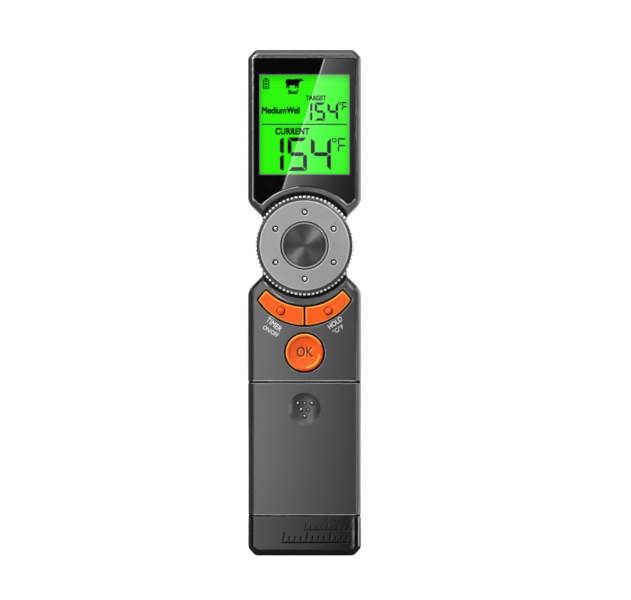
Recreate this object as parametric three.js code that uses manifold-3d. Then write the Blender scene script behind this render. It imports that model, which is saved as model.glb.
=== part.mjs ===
// Folding-probe meat thermometer with a dial, as an assembly of separate pieces.
// Millimetres. +Z runs up the body, -Y is the front (display) side, +Y the back.
// Origin: centre of the flat bottom end.
import * as THREE from "three";
import { mergeVertices } from "three/addons/utils/BufferGeometryUtils.js";
import Module from "manifold-3d";

const wasm = await Module();
wasm.setup();

// ---------- driving dimensions ----------
const HALF_W = 20; // half the body's width
const LENGTH = 178.7; // body length
const Y_FRONT = -9.6; // front face
const Y_BACK = 11; // back face
const Y_PART = 2; // parting plane of the two main shells
const FILLET = 2.4; // front and back edge rounding
const WALL = 1.8; // shell wall
const FRONT_WALL_IN = -7.4; // inner side of the front wall
const NECK_HALF = 14.9; // half width of the neck behind the dial

const DOOR_LOW = 14.35; // battery door, lower edge (hinge line)
const DOOR_HIGH = 61.05; // battery door, upper edge
const DOOR_LEN = DOOR_HIGH - DOOR_LOW;
const DOOR_WALL = 1.6;
const SEAM = 0.25; // visible gap at a seam

const DIAL_Z = 109.47; // dial centre height
const DIAL_R = 17.6; // over the knurl
const DIAL_TEETH = 72;
const POCKET_R = 18.6;
const POCKET_FLOOR = -5.3;
const FACE_R = 15.85; // dial face plate
const TRIM_R = 8.55;
const CAP_R = 7.25;
const PIN_RING_R = 11.8;
const DIAL_FRONT = -11;

const OK_Z = 71.8;
const OK_R = 6.65;
const KEY_GAP = 0.45; // gap round each key
const KEY_FRONT = -10.2;
const KEY_TRAVEL = 0.6;
const KEY_DOT_X = 8.4;
const KEY_DOT_Z = 86.5;

const LENS_HALF = 17.7;
const LENS_TOP = 175.5;
const LENS_ARC_R = 21;
const LCD_HALF = 15.85;
const LCD_LOW = 134.6;
const LCD_HIGH = 169.8;

const HINGE_Y = 5.2;
const HINGE_Z = 173;
const HUB_R = 5.6;
const HUB_HALF = 6.4;
const SLOT_HALF = 7.4;
const PROBE_OFFSET = 2.8; // probe axis behind the hinge axis when folded
const PROBE_R = 1.8;
const PROBE_TIP_Z = 57;
const PROBE_Y = HINGE_Y + PROBE_OFFSET;
const CHANNEL_HALF = 3.2;
const CHANNEL_FLOOR = 5.6;

const CELL_R = 5.2; // AAA cell
const CELL_X = 5.7;
const CELL_Y = -2.2;
const CELL_LOW = 15.6;
const CELL_HIGH = 59.3;

const SCREW_X = 15.4;
const HEAD_SCREW_Z = 127.6;
const GRIP_SCREW_Z = 82;
const END_SCREW_Z = 9;

// ---------- colours ----------
const mat = (color, roughness, metalness = 0) =>
  new THREE.MeshStandardMaterial({ color, roughness, metalness });
const M = {
  shell: mat(0x4e4e50, 0.55),
  door: mat(0x565658, 0.55),
  endcap: mat(0x3a3a3c, 0.3),
  lens: mat(0x0b0b0c, 0.06),
  lcd: mat(0x2bfa05, 0.4),
  white: mat(0xe6ebe4, 0.6),
  board: mat(0x14592c, 0.5),
  chip: mat(0x121214, 0.5),
  copper: mat(0xb87b3a, 0.35, 1),
  steel: mat(0xb9babd, 0.28, 1),
  darkSteel: mat(0x4a4a4c, 0.3, 1),
  face: mat(0x9b9b9d, 0.42, 1),
  knurl: mat(0x1b1b1d, 0.4),
  orange: mat(0xf26422, 0.5),
  rubber: mat(0x1c1c1e, 0.8),
  cell: mat(0x33506e, 0.4),
  red: mat(0xb01c18, 0.6),
  blackPlastic: mat(0x18181a, 0.6),
  magnet: mat(0x9fa1a5, 0.3, 1),
};

// ---------- helpers ----------
const solid = (g) => {
  let q = g.clone();
  for (const a of ["normal", "uv"]) if (q.getAttribute(a)) q.deleteAttribute(a);
  q = mergeVertices(q, 1e-4);
  return new wasm.Manifold(
    new wasm.Mesh({
      numProp: 3,
      vertProperties: new Float32Array(q.attributes.position.array),
      triVerts: new Uint32Array(q.index.array),
    }),
  );
};
const geometryOf = (m) => {
  const s = m.getMesh(),
    v = new Float32Array(s.numVert * 3);
  for (let i = 0; i < s.numVert; i++)
    v.set(s.vertProperties.subarray(i * s.numProp, i * s.numProp + 3), i * 3);
  const g = new THREE.BufferGeometry()
    .setAttribute("position", new THREE.BufferAttribute(v, 3))
    .setIndex(new THREE.BufferAttribute(new Uint32Array(s.triVerts), 1));
  const flat = g.toNonIndexed();
  flat.computeVertexNormals();
  return flat;
};
const box = (x0, x1, y0, y1, z0, z1) =>
  solid(
    new THREE.BoxGeometry(x1 - x0, y1 - y0, z1 - z0).translate(
      (x0 + x1) / 2,
      (y0 + y1) / 2,
      (z0 + z1) / 2,
    ),
  );
const cylY = (x, z, r, y0, y1, seg = 24, r1 = r) =>
  solid(
    new THREE.CylinderGeometry(r1, r, y1 - y0, seg).translate(x, (y0 + y1) / 2, z),
  );
const cylX = (y, z, r, x0, x1, seg = 24) =>
  solid(
    new THREE.CylinderGeometry(r, r, x1 - x0, seg)
      .rotateZ(Math.PI / 2)
      .translate((x0 + x1) / 2, y, z),
  );
const cylZ = (x, y, r, z0, z1, seg = 24, rTop = r) =>
  solid(
    new THREE.CylinderGeometry(rTop, r, z1 - z0, seg)
      .rotateX(Math.PI / 2)
      .translate(x, y, (z0 + z1) / 2),
  );
const toShape = (points) => new THREE.Shape(points.map((p) => new THREE.Vector2(p[0], p[1])));
// A shape drawn in X and Z, carried from y0 to y1.
const prismY = (points, y0, y1) =>
  solid(
    new THREE.ExtrudeGeometry(toShape(points), {
      depth: y1 - y0,
      bevelEnabled: false,
    })
      .rotateX(Math.PI / 2)
      .translate(0, y1, 0),
  );
const union = (...s) => s.reduce((a, b) => a.add(b));

// Outline of the body, counter-clockwise: [x, z, corner radius].
const rightSide = [
  [17.4, 0, 1],
  [HALF_W, 2.6, 1.5],
  [HALF_W, 93.7, 5],
  [NECK_HALF, 98.8, 1],
  [NECK_HALF, 119.65, 1],
  [HALF_W, 124.75, 4.3],
  [HALF_W, 176, 2.2],
  [17.3, LENGTH, 2.2],
];
const OUTLINE = [...rightSide, ...[...rightSide].reverse().map(([x, z, r]) => [-x, z, r])];

// The outline moved inwards by d, with its corners rounded.
function inset(d, steps = 3) {
  const n = OUTLINE.length,
    lines = OUTLINE.map((a, i) => {
      const b = OUTLINE[(i + 1) % n],
        l = Math.hypot(b[0] - a[0], b[1] - a[1]),
        u = [(b[0] - a[0]) / l, (b[1] - a[1]) / l];
      return { p: [a[0] - u[1] * d, a[1] + u[0] * d], u };
    }),
    out = [];
  for (let i = 0; i < n; i++) {
    const A = lines[(i + n - 1) % n],
      B = lines[i],
      cross = A.u[0] * B.u[1] - A.u[1] * B.u[0],
      dot = A.u[0] * B.u[0] + A.u[1] * B.u[1],
      w = [B.p[0] - A.p[0], B.p[1] - A.p[1]],
      t = (w[0] * B.u[1] - w[1] * B.u[0]) / cross,
      c = [A.p[0] + A.u[0] * t, A.p[1] + A.u[1] * t],
      turn = Math.atan2(cross, dot),
      r = turn > 0 ? Math.max(OUTLINE[i][2] - d, 0) : OUTLINE[i][2] + d,
      tl = r * Math.tan(Math.abs(turn) / 2);
    if (r < 0.05) {
      out.push(c);
      continue;
    }
    const s = [c[0] - A.u[0] * tl, c[1] - A.u[1] * tl],
      side = Math.sign(turn),
      centre = [s[0] - A.u[1] * r * side, s[1] + A.u[0] * r * side],
      a0 = Math.atan2(s[1] - centre[1], s[0] - centre[0]);
    const n2 = OUTLINE[i][2] < 2.5 ? Math.min(steps, 2) : steps;
    for (let k = 0; k <= n2; k++) {
      const a = a0 + (turn * k) / n2;
      out.push([centre[0] + r * Math.cos(a), centre[1] + r * Math.sin(a)]);
    }
  }
  return out;
}

// The whole body as one rounded block, which the shells are cut from.
const block = solid(
  new THREE.ExtrudeGeometry(toShape(inset(FILLET)), {
    depth: Y_BACK - Y_FRONT - 2 * FILLET,
    bevelEnabled: true,
    bevelThickness: FILLET,
    bevelSize: FILLET,
    bevelSegments: 3,
  })
    .rotateX(Math.PI / 2)
    .translate(0, Y_BACK - FILLET, 0),
);
const cavity = (wall, y0, y1) => prismY(inset(wall, 2), y0, y1);

const root = new THREE.Group();
const place = (parent, name, m, material, offset = [0, 0, 0]) => {
  const mesh = new THREE.Mesh(
    geometryOf(m.translate([-offset[0], -offset[1], -offset[2]])),
    material,
  );
  mesh.name = name;
  parent.add(mesh);
  return mesh;
};

// Side profile of the battery door: its ends follow arcs about the far front edge, so that the door swings clear.
const doorTopArc = (r) => cylX(Y_FRONT, DOOR_LOW, r, -30, 30, 96);
const doorLowArc = (r) => cylX(Y_FRONT, DOOR_HIGH, r, -30, 30, 96);

// ---------- shared key shapes ----------
const KEY_ANGLE = 0.7086; // half the span of the two curved keys, about the dial centre
function keyPoints(grow, fromX, side) {
  // one curved key on +X (side 1), or both together (side 0)
  const ang = KEY_ANGLE + grow / 23,
    ci = [0, DIAL_Z - 3.2],
    ri = 18.4 - grow,
    co = [0, DIAL_Z - 8.8],
    ro = 19.3 + grow,
    hit = (c, r) => {
      const k = DIAL_Z - c[1],
        b = k * Math.cos(ang),
        q = b + Math.sqrt(b * b - k * k + r * r);
      return Math.atan2(q * Math.sin(ang), k * 0 + q * Math.cos(ang) - k);
    },
    ai = hit(ci, ri),
    ao = hit(co, ro),
    inner = [],
    outer = [],
    n = 9,
    start = (r) => (side ? Math.asin(fromX / r) : -1);
  for (let i = 0; i <= n; i++) {
    const s = side ? start(ri) : -ai,
      a = s + ((ai - s) * i) / n;
    inner.push([ci[0] + ri * Math.sin(a), ci[1] - ri * Math.cos(a)]);
    const so = side ? start(ro) : -ao,
      b = ao + ((so - ao) * i) / n;
    outer.push([co[0] + ro * Math.sin(b), co[1] - ro * Math.cos(b)]);
  }
  return [...outer.reverse(), ...inner.reverse()];
}
const mirrorX = (p) => p.map(([x, z]) => [-x, z]).reverse();

// ---------- lens outline ----------
function lensPoints(d = 0) {
  const h = LENS_HALF - d,
    top = LENS_TOP - d,
    r = LENS_ARC_R + d,
    pts = [
      [h, 126.4 + d * 0.4],
      [h, top - 0.8],
      [h - 0.25, top - 0.25],
      [h - 0.8, top],
    ],
    a1 = Math.asin((15.1 - d) / r),
    arc = [];
  for (let i = 0; i <= 14; i++) {
    const a = a1 - (2 * a1 * i) / 14;
    arc.push([r * Math.sin(a), DIAL_Z + r * Math.cos(a)]);
  }
  const left = pts.map(([x, z]) => [-x, z]).reverse(),
    tipR = [15.5 - d * 0.7, 124.05 + d],
    tipL = [-tipR[0], tipR[1]];
  return [tipR, ...pts, ...left, tipL, ...arc.reverse()];
}

// =====================================================================
// Front housing
// =====================================================================
const G_root = new THREE.Group();
root.add(G_root);

const frontBosses = [
  [SCREW_X, HEAD_SCREW_Z],
  [-SCREW_X, HEAD_SCREW_Z],
  [SCREW_X, GRIP_SCREW_Z],
  [-SCREW_X, GRIP_SCREW_Z],
];
{
  let s = block
    .intersect(box(-30, 30, -20, Y_PART - 0.1, 55, 200))
    .subtract(doorTopArc(DOOR_LEN + SEAM));
  s = s.subtract(
    cavity(WALL, FRONT_WALL_IN, 4).intersect(box(-30, 30, -20, 20, 63, 200)),
  );
  // ring wall and floor of the dial pocket
  s = s.add(
    cylY(0, DIAL_Z, POCKET_R + 1.3, FRONT_WALL_IN - 0.5, POCKET_FLOOR + 1.6, 56).intersect(
      prismY(inset(0.4, 2), -20, 20),
    ),
  );
  s = s.subtract(cylY(0, DIAL_Z, POCKET_R, -20, POCKET_FLOOR, 56));
  s = s.subtract(cylY(0, DIAL_Z, 3.6, -20, 20, 24));
  // lens seat and display window
  s = s.subtract(prismY(lensPoints(-0.1), -20, Y_FRONT + 1.15));
  s = s.subtract(box(-LCD_HALF - 0.4, LCD_HALF + 0.4, -20, -2, LCD_LOW - 0.4, LCD_HIGH + 0.4));
  // key openings
  s = s.subtract(cylY(0, OK_Z, OK_R + KEY_GAP, -20, -4, 40));
  s = s.subtract(prismY(keyPoints(KEY_GAP, 0, 0), -20, -6.5));
  // screw bosses
  for (const [x, z] of frontBosses)
    s = s
      .add(cylY(x, z, 2.2, FRONT_WALL_IN - 0.4, Y_PART - 0.1, 12))
      .subtract(cylY(x, z, 1.1, -4.5, 5, 8));
  // opening for the battery tray, and notch for the probe hub
  s = s.subtract(box(-12.7, 12.7, -5.8, 5, 55, 63.5));
  s = s.subtract(box(-SLOT_HALF, SLOT_HALF, -0.8, 5, 170, 190));
  // groove for the seal
  const groove = prismY(inset(0.6, 2), 1.3, 3).subtract(prismY(inset(1.2, 2), 0, 5));
  s = s.subtract(groove.intersect(box(-30, 30, -20, 20, 64, 200)));
  place(G_root, "front_housing", s, M.shell);

  const seal = prismY(inset(0.68, 2), 1.4, 2)
    .subtract(prismY(inset(1.12, 2), 0, 5))
    .intersect(box(-30, 30, -20, 20, 64.3, 200))
    .subtract(box(-SLOT_HALF - 0.3, SLOT_HALF + 0.3, -5, 5, 170, 190));
  place(G_root, "body_seal_right", seal.intersect(box(0, 30, -20, 20, 0, 200)), M.rubber);
  place(G_root, "body_seal_left", seal.intersect(box(-30, 0, -20, 20, 0, 200)), M.rubber);
}

// =====================================================================
// Back housing, with probe channel, hinge yoke, magnet seats, finger groove
// =====================================================================
const GROOVE_Z = 66,
  GROOVE_R = 9,
  GROOVE_Y = Y_BACK + 5.5;
const MAGNETS = [
  [11.3, 146],
  [-11.3, 146],
];
{
  let s = block
    .intersect(box(-30, 30, Y_PART + 0.1, 20, DOOR_LOW - 0.1, 200))
    .subtract(cavity(WALL, 0, Y_BACK - WALL).intersect(box(-30, 30, -20, 20, 5, 200)));
  const insideBlock = prismY(inset(0.6, 2), -20, Y_BACK - 0.6);
  // rib along the probe channel
  s = s.add(box(-4.6, 4.6, 4.4, Y_BACK - 0.5, 50.6, 168));
  // hinge yoke block
  s = s.add(
    box(-10.4, 10.4, -2, Y_BACK - 3, 165.3, LENGTH - WALL - 0.3).intersect(insideBlock),
  );
  s = s.add(box(-10.4, 10.4, 3, Y_BACK - 1, 165.3, LENGTH - 1).intersect(insideBlock));
  // finger groove wall
  s = s.add(
    cylX(GROOVE_Y, GROOVE_Z, GROOVE_R + 1.6, -HALF_W + 0.8, HALF_W - 0.8, 36).intersect(
      prismY(inset(0.8, 2), 4.6, Y_BACK - 0.8),
    ),
  );
  // magnet seats
  for (const [x, z] of MAGNETS) s = s.add(cylY(x, z, 6.2, 7.2, Y_BACK - 0.5, 20));
  // screw pillars
  for (const [x, z] of frontBosses)
    s = s.add(cylY(x, z, 2.5, Y_PART + 0.1, Y_BACK - 0.5, 12));
  // lugs that carry the end cap
  for (const k of [1, -1]) {
    const lug = box(SCREW_X - 2, SCREW_X + 2, 3, 7.5, 5, 18).add(
      box(SCREW_X - 2, HALF_W - 1, 3, 10, DOOR_LOW - 0.1, 18),
    );
    s = s.add(k > 0 ? lug : lug.mirror([1, 0, 0]));
  }
  // cuts
  s = s.subtract(box(-CHANNEL_HALF, CHANNEL_HALF, CHANNEL_FLOOR, 20, 52, 172));
  s = s.subtract(box(-SLOT_HALF, SLOT_HALF, -0.8, 20, 166.6, 200));
  s = s.subtract(cylX(GROOVE_Y, GROOVE_Z, GROOVE_R, -30, 30, 36));
  s = s.subtract(cylX(HINGE_Y, HINGE_Z, 1.4, -11, 11, 16));
  for (const [x, z] of MAGNETS) s = s.subtract(cylY(x, z, 5.2, 8.4, 20, 24));
  for (const [x, z] of frontBosses)
    s = s.subtract(cylY(x, z, 1.15, 0, 20, 8)).subtract(cylY(x, z, 2.1, 9.2, 20, 14));
  for (const k of [1, -1])
    s = s.subtract(cylY(k * SCREW_X, END_SCREW_Z, 1.1, 4, 20, 10));
  place(G_root, "back_housing", s, M.shell);
}

// =====================================================================
// End cap
// =====================================================================
{
  let s = block
    .intersect(box(-30, 30, -20, Y_PART, -5, 25).subtract(doorLowArc(DOOR_LEN + SEAM)))
    .add(block.intersect(box(-30, 30, Y_PART - 0.01, 20, -5, DOOR_LOW - 0.35)));
  s = s.subtract(
    cavity(WALL, Y_FRONT + WALL, Y_BACK - WALL).intersect(box(-30, 30, -20, 20, WALL, 40)),
  );
  for (const k of [1, -1])
    s = s
      .add(cylY(k * SCREW_X, END_SCREW_Z, 2.7, 7.7, 9.4, 16))
      .subtract(cylY(k * SCREW_X, END_SCREW_Z, 1.15, 7, 20, 10))
      .subtract(cylY(k * SCREW_X, END_SCREW_Z, 2.1, 9.5, 20, 16));
  place(G_root, "end_cap", s, M.endcap);
}

// =====================================================================
// Display
// =====================================================================
place(G_root, "display_lens", prismY(lensPoints(0.05), Y_FRONT + 0.05, Y_FRONT + 1.05), M.lens);
place(G_root, "lcd_glass", box(-17, 17, -7.2, -5.4, 132.3, 171.3), M.lcd);
place(G_root, "lcd_backlight", box(-16.6, 16.6, -5.1, -3.3, 132.7, 170.9), M.white);
place(
  G_root,
  "lcd_frame",
  box(-17.9, 17.9, -7.1, -2.3, 131.3, 172.3).subtract(
    box(-17.3, 17.3, -9, -3.1, 132, 171.6),
  ),
  M.white,
);
place(G_root, "lcd_flex_cable", box(-8, 8, -6.6, 0.7, 130.3, 130.9), M.copper);

// =====================================================================
// Electronics
// =====================================================================
{
  let s = prismY(inset(2.5, 2), 1, 2.6).intersect(box(-30, 30, 0, 5, 63.6, 164.2));
  for (const [x, z] of frontBosses) s = s.subtract(cylY(x, z, 3, 0, 5, 14));
  place(G_root, "main_board", s, M.board);
}
place(G_root, "microcontroller", box(-3.5, 3.5, 2.8, 3.9, 140, 147), M.chip);
place(G_root, "buzzer", cylY(12.6, 69.5, 4.3, -3.4, 0.8, 18), M.blackPlastic);
place(G_root, "hinge_sensor", box(-2, 2, -0.4, 0.8, 160, 163), M.chip);
{
  let s = box(-17, 17, -5.2, -4.6, 64.6, 92);
  s = s
    .subtract(cylY(0, DIAL_Z, POCKET_R + 1.7, -8, 0, 48))
    .subtract(cylY(0, OK_Z, 1.9, -8, 0, 14))
    .subtract(cylY(KEY_DOT_X, KEY_DOT_Z, 1.9, -8, 0, 14))
    .subtract(cylY(-KEY_DOT_X, KEY_DOT_Z, 1.9, -8, 0, 14));
  for (const [x, z] of frontBosses.slice(2)) s = s.subtract(cylY(x, z, 2.6, -8, 0, 14));
  place(G_root, "keypad_mat", s, M.rubber);
}

// =====================================================================
// Keys: cap, plunger, switch
// =====================================================================
const keyGroup = (name, x, z, cap) => {
  const g = new THREE.Group();
  g.position.set(x, 0, z);
  root.add(g);
  place(g, name + "_button", cap.translate([-x, 0, -z]), M.orange);
  place(g, name + "_switch_plunger", cylY(0, 0, 1.5, -3.1, -1.2, 12), M.blackPlastic);
  const fixed = new THREE.Group();
  fixed.position.set(x, 0, z);
  G_root.add(fixed);
  place(
    fixed,
    name + "_switch",
    box(-3, 3, -1.9, 0.8, -3, 3).subtract(cylY(0, 0, 1.75, -4, -0.3, 12)),
    M.steel,
  );
};
{
  const stem = (x, z) => cylY(x, z, 1.4, -7.2, -3.4, 12);
  // round key with a dished face
  const okCap = union(
    cylY(0, OK_Z, OK_R, KEY_FRONT + 0.5, -6.4, 40),
    cylY(0, OK_Z, OK_R - 0.5, KEY_FRONT, KEY_FRONT + 0.5, 40, OK_R),
    cylY(0, OK_Z, OK_R + 1.2, -7.1, -6.4, 40),
    stem(0, OK_Z),
  ).subtract(
    solid(
      new THREE.SphereGeometry(20, 48, 32).rotateX(Math.PI / 2).translate(0, KEY_FRONT - 19.4, OK_Z),
    ),
  );
  keyGroup("ok", 0, OK_Z, okCap);
  const curved = keyPoints(0, 0.4, 1);
  const flange = keyPoints(0, 0.4, 1).map(([x, z]) => {
    const d = Math.hypot(x, z - DIAL_Z);
    const out = Math.hypot(x, z - (DIAL_Z - 8.8)) > 18.9 ? 1.1 : 0;
    return [x + (x / d) * out * (x > 0.6 ? 1 : 0), z + ((z - DIAL_Z) / d) * out];
  });
  const dot = solid(
    new THREE.SphereGeometry(1.5, 12, 8).scale(1, 0.45, 1).translate(KEY_DOT_X, KEY_FRONT, KEY_DOT_Z),
  ).intersect(box(0, 30, KEY_FRONT - 0.6, 0, 60, 110));
  const hold = union(prismY(curved, KEY_FRONT, -6.9), prismY(flange, -7.1, -6.4), dot, stem(KEY_DOT_X, KEY_DOT_Z));
  keyGroup("hold", KEY_DOT_X, KEY_DOT_Z, hold);
  keyGroup("timer", -KEY_DOT_X, KEY_DOT_Z, hold.mirror([1, 0, 0]));
}

// =====================================================================
// Dial
// =====================================================================
{
  const g = new THREE.Group();
  g.position.set(0, 0, DIAL_Z);
  root.add(g);
  const pts = [];
  for (let i = 0; i < DIAL_TEETH; i++) {
    const a = (2 * Math.PI * i) / DIAL_TEETH,
      w = (2 * Math.PI) / DIAL_TEETH;
    for (const [f, r] of [
      [-0.25, DIAL_R - 0.5],
      [0.25, DIAL_R],
    ])
      pts.push([r * Math.cos(a + f * w), r * Math.sin(a + f * w)]);
  }
  let ring = prismY(pts, -9.3, -5.9).add(
    cylY(0, 0, DIAL_R - 0.7, -9.4, -9.2, 44).add(
      cylY(0, 0, DIAL_R - 0.7, -9.9, -9.4, 44, DIAL_R - 1.1),
    ),
  );
  ring = ring.subtract(cylY(0, 0, FACE_R + 0.2, -20, -9.05, 44)).subtract(cylY(0, 0, 3.1, -20, 0, 20));
  place(g, "dial_ring", ring, M.knurl);

  let face = cylY(0, 0, FACE_R, -10.7, -9.25, 44).add(cylY(0, 0, FACE_R - 0.3, -10.9, -10.7, 44, FACE_R));
  face = face.subtract(cylY(0, 0, TRIM_R + 0.15, -20, 0, 36));
  for (let i = 0; i < 6; i++) {
    const a = Math.PI / 6 + (i * Math.PI) / 3,
      x = PIN_RING_R * Math.cos(a),
      z = PIN_RING_R * Math.sin(a);
    face = face.subtract(cylY(x, z, 1.15, -20, -10.3, 10));
    face = face.add(
      solid(new THREE.SphereGeometry(0.95, 8, 6).scale(1, 0.75, 1).translate(x, -10.28, z)),
    );
  }
  place(g, "dial_face", face, M.face);
  place(
    g,
    "dial_trim_ring",
    cylY(0, 0, TRIM_R - 0.3, DIAL_FRONT, -10.6, 36, TRIM_R)
      .add(cylY(0, 0, TRIM_R, -10.6, -9.25, 36))
      .subtract(cylY(0, 0, CAP_R + 0.15, -20, 0, 36)),
    M.steel,
  );
  place(g, "dial_cap", cylY(0, 0, CAP_R, -10.6, -9.3, 36), M.darkSteel);
  place(g, "encoder_shaft", cylY(0, 0, 2.9, -8.9, -1.2, 20), M.steel);
}
place(
  G_root,
  "dial_washer",
  cylY(0, DIAL_Z, 11, -5.75, -5.45, 24).subtract(cylY(0, DIAL_Z, 8, -8, 0, 20)),
  M.white,
);
place(
  G_root,
  "encoder_body",
  box(-6, 6, -3.4, 0.8, DIAL_Z - 6, DIAL_Z + 6).subtract(cylY(0, DIAL_Z, 3.2, -5, -0.8, 20)),
  M.blackPlastic,
);

// =====================================================================
// Battery door, on its lower edge
// =====================================================================
{
  const g = new THREE.Group();
  g.position.set(0, Y_FRONT, DOOR_LOW);
  root.add(g);
  let s = block
    .intersect(box(-30, 30, -20, Y_PART - 0.1, DOOR_LOW, 70))
    .intersect(doorTopArc(DOOR_LEN))
    .intersect(doorLowArc(DOOR_LEN));
  s = s.subtract(cavity(DOOR_WALL, Y_FRONT + DOOR_WALL, 10));
  // thumb dish with six raised dots
  const dishR = 5.75,
    dishD = 0.85,
    R = (dishR * dishR + dishD * dishD) / (2 * dishD),
    DISH_Z = 52;
  s = s.subtract(
    solid(
      new THREE.SphereGeometry(R, 56, 40).rotateX(Math.PI / 2).translate(0, Y_FRONT + dishD - R, DISH_Z),
    ).intersect(cylY(0, DISH_Z, dishR + 0.4, -20, 0, 40)),
  );
  const dots = [
    [-2.5, 2.2],
    [0, 2.2],
    [2.5, 2.2],
    [-1.25, -0.1],
    [1.25, -0.1],
    [0, -2.4],
  ];
  for (const [x, z] of dots) {
    const y = Y_FRONT + dishD - R + Math.sqrt(R * R - x * x - z * z);
    s = s.add(
      solid(new THREE.SphereGeometry(0.5, 8, 5).translate(x, y, DISH_Z + z)),
    );
  }
  // tabs that hook under the end cap's rim
  for (const k of [1, -1]) {
    const x0 = k > 0 ? 8 : -12;
    s = s
      .add(box(x0, x0 + 4, -8.05, -7.2, DOOR_LOW + 0.2, 18))
      .add(box(x0, x0 + 4, -7.6, -7.2, 12.6, 18));
  }
  place(g, "battery_door", s, M.door, [0, Y_FRONT, DOOR_LOW]);
}

// =====================================================================
// Battery tray, cells and contacts
// =====================================================================
{
  let s = box(-12.4, 12.4, -5.5, 4.1, 12.8, 62.6)
    .subtract(cylZ(CELL_X, CELL_Y, 5.45, 14, 61, 32))
    .subtract(cylZ(-CELL_X, CELL_Y, 5.45, 14, 61, 32))
    .subtract(box(-11.15, 11.15, -20, CELL_Y, 14, 61))
    .subtract(box(-10, 10, -20, 1.1, 13.9, 14.6));
  place(G_root, "battery_tray", s, M.blackPlastic);
  const cell = (sign) => {
    const mid = (CELL_LOW + CELL_HIGH) / 2,
      h = (CELL_HIGH - CELL_LOW) / 2,
      profile = [
        [0, -h],
        [CELL_R - 0.6, -h],
        [CELL_R, -h + 0.5],
        [CELL_R, h - 0.5],
        [CELL_R - 0.6, h],
        [1.9, h],
        [1.9, h + 0.8],
        [0, h + 0.8],
      ].map((p) => new THREE.Vector2(p[0], p[1]));
    const q = new THREE.LatheGeometry(profile, 20).rotateX((sign * Math.PI) / 2);
    return solid(q).translate([-sign * CELL_X, CELL_Y, mid]);
  };
  place(G_root, "battery_left", cell(1), M.cell);
  place(G_root, "battery_right", cell(-1), M.cell);

  class Coil extends THREE.Curve {
    constructor(r0, r1, z0, z1, turns) {
      super();
      Object.assign(this, { r0, r1, z0, z1, turns });
    }
    getPoint(t, target = new THREE.Vector3()) {
      const a = t * this.turns * 2 * Math.PI,
        r = this.r0 + (this.r1 - this.r0) * t;
      return target.set(r * Math.cos(a), r * Math.sin(a), this.z0 + (this.z1 - this.z0) * t);
    }
  }
  const ringOf = (r, n) =>
    toShape(
      Array.from({ length: n }, (_, i) => [
        r * Math.cos((2 * Math.PI * i) / n),
        r * Math.sin((2 * Math.PI * i) / n),
      ]),
    );
  const coil = (x, z0, z1) =>
    solid(
      new THREE.ExtrudeGeometry(ringOf(0.22, 5), {
        steps: 20,
        bevelEnabled: false,
        extrudePath: new Coil(3.6, 1.9, z0, z1, 2.2),
      }).translate(x, CELL_Y, 0),
    );
  place(G_root, "contact_bridge", box(-9.6, 9.6, -4.9, 0.8, 14.1, 14.35), M.steel);
  place(G_root, "contact_spring_lower", coil(-CELL_X, 14.75, 15.25), M.steel);
  place(G_root, "contact_plate_positive", box(-9, -2.4, -4.9, 0.8, 60.35, 60.65), M.steel);
  place(G_root, "contact_plate_negative", box(2.4, 9, -4.9, 0.8, 60.6, 60.85), M.steel);
  place(G_root, "contact_spring_upper", coil(CELL_X, 60.2, 59.65), M.steel);

  const tube = (points, r, n, steps) =>
    solid(
      new THREE.ExtrudeGeometry(ringOf(r, n), {
        steps,
        bevelEnabled: false,
        extrudePath: new THREE.CatmullRomCurve3(points.map((p) => new THREE.Vector3(...p))),
      }),
    );
  place(
    G_root,
    "battery_lead_red",
    tube([[-7, 3.4, 62.9], [-7.2, 3.7, 64.6], [-7, 3.6, 66.6], [-6.6, 3.4, 69]], 0.45, 6, 7),
    M.red,
  );
  place(
    G_root,
    "battery_lead_black",
    tube([[7, 3.4, 62.9], [7.2, 3.7, 64.6], [7, 3.6, 66.6], [6.6, 3.4, 69]], 0.45, 6, 7),
    M.blackPlastic,
  );
  place(
    G_root,
    "probe_wire",
    tube(
      [
        [10.9, HINGE_Y, HINGE_Z],
        [12.2, HINGE_Y - 0.2, HINGE_Z - 0.8],
        [12.9, 4.6, 169],
        [12.6, 4, 165],
        [11, 3.6, 162.4],
        [8.6, 3.4, 161.6],
      ],
      0.5,
      7,
      12,
    ),
    M.rubber,
  );
}

// =====================================================================
// Folding probe, on the hinge axis
// =====================================================================
{
  const g = new THREE.Group();
  g.position.set(0, HINGE_Y, HINGE_Z);
  root.add(g);
  const neckLow = -15; // relative to the hinge
  let hub = cylX(0, 0, HUB_R, -HUB_HALF, HUB_HALF, 32).add(
    cylZ(0, PROBE_OFFSET, 2.2, neckLow, -1, 18),
  );
  hub = hub.add(box(-2.2, 2.2, PROBE_OFFSET - 2.2, PROBE_OFFSET + 1.4, -8.5, -1));
  hub = hub
    .subtract(cylX(0, 0, 1.4, -10, 10, 18))
    .subtract(cylZ(0, PROBE_OFFSET, 1.95, neckLow - 1, -7, 18))
    .subtract(cylX(-3.4, 1.2, 1.05, 4, 10, 12));
  place(g, "probe_hub", hub, M.blackPlastic);
  place(
    g,
    "probe_collar",
    cylZ(0, PROBE_OFFSET, 2.3, neckLow - 4.2, neckLow - 0.2, 18).subtract(
      cylZ(0, PROBE_OFFSET, 1.95, neckLow - 6, neckLow + 1, 18),
    ),
    M.steel,
  );
  place(g, "hub_magnet", cylX(-3.4, 1.2, 0.9, 4.2, 6.2, 12), M.magnet);
  const tip = PROBE_TIP_Z - HINGE_Z,
    profile = [
      [0, tip],
      [0.35, tip + 0.5],
      [0.85, tip + 3],
      [0.85, tip + 15],
      [PROBE_R, tip + 20],
      [PROBE_R, -7.3],
      [0, -7.3],
    ].map((p) => new THREE.Vector2(p[0], p[1]));
  place(
    g,
    "probe_tube",
    solid(new THREE.LatheGeometry(profile, 16).rotateX(Math.PI / 2)).translate([0, PROBE_OFFSET, 0]),
    M.steel,
  );
}
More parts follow.
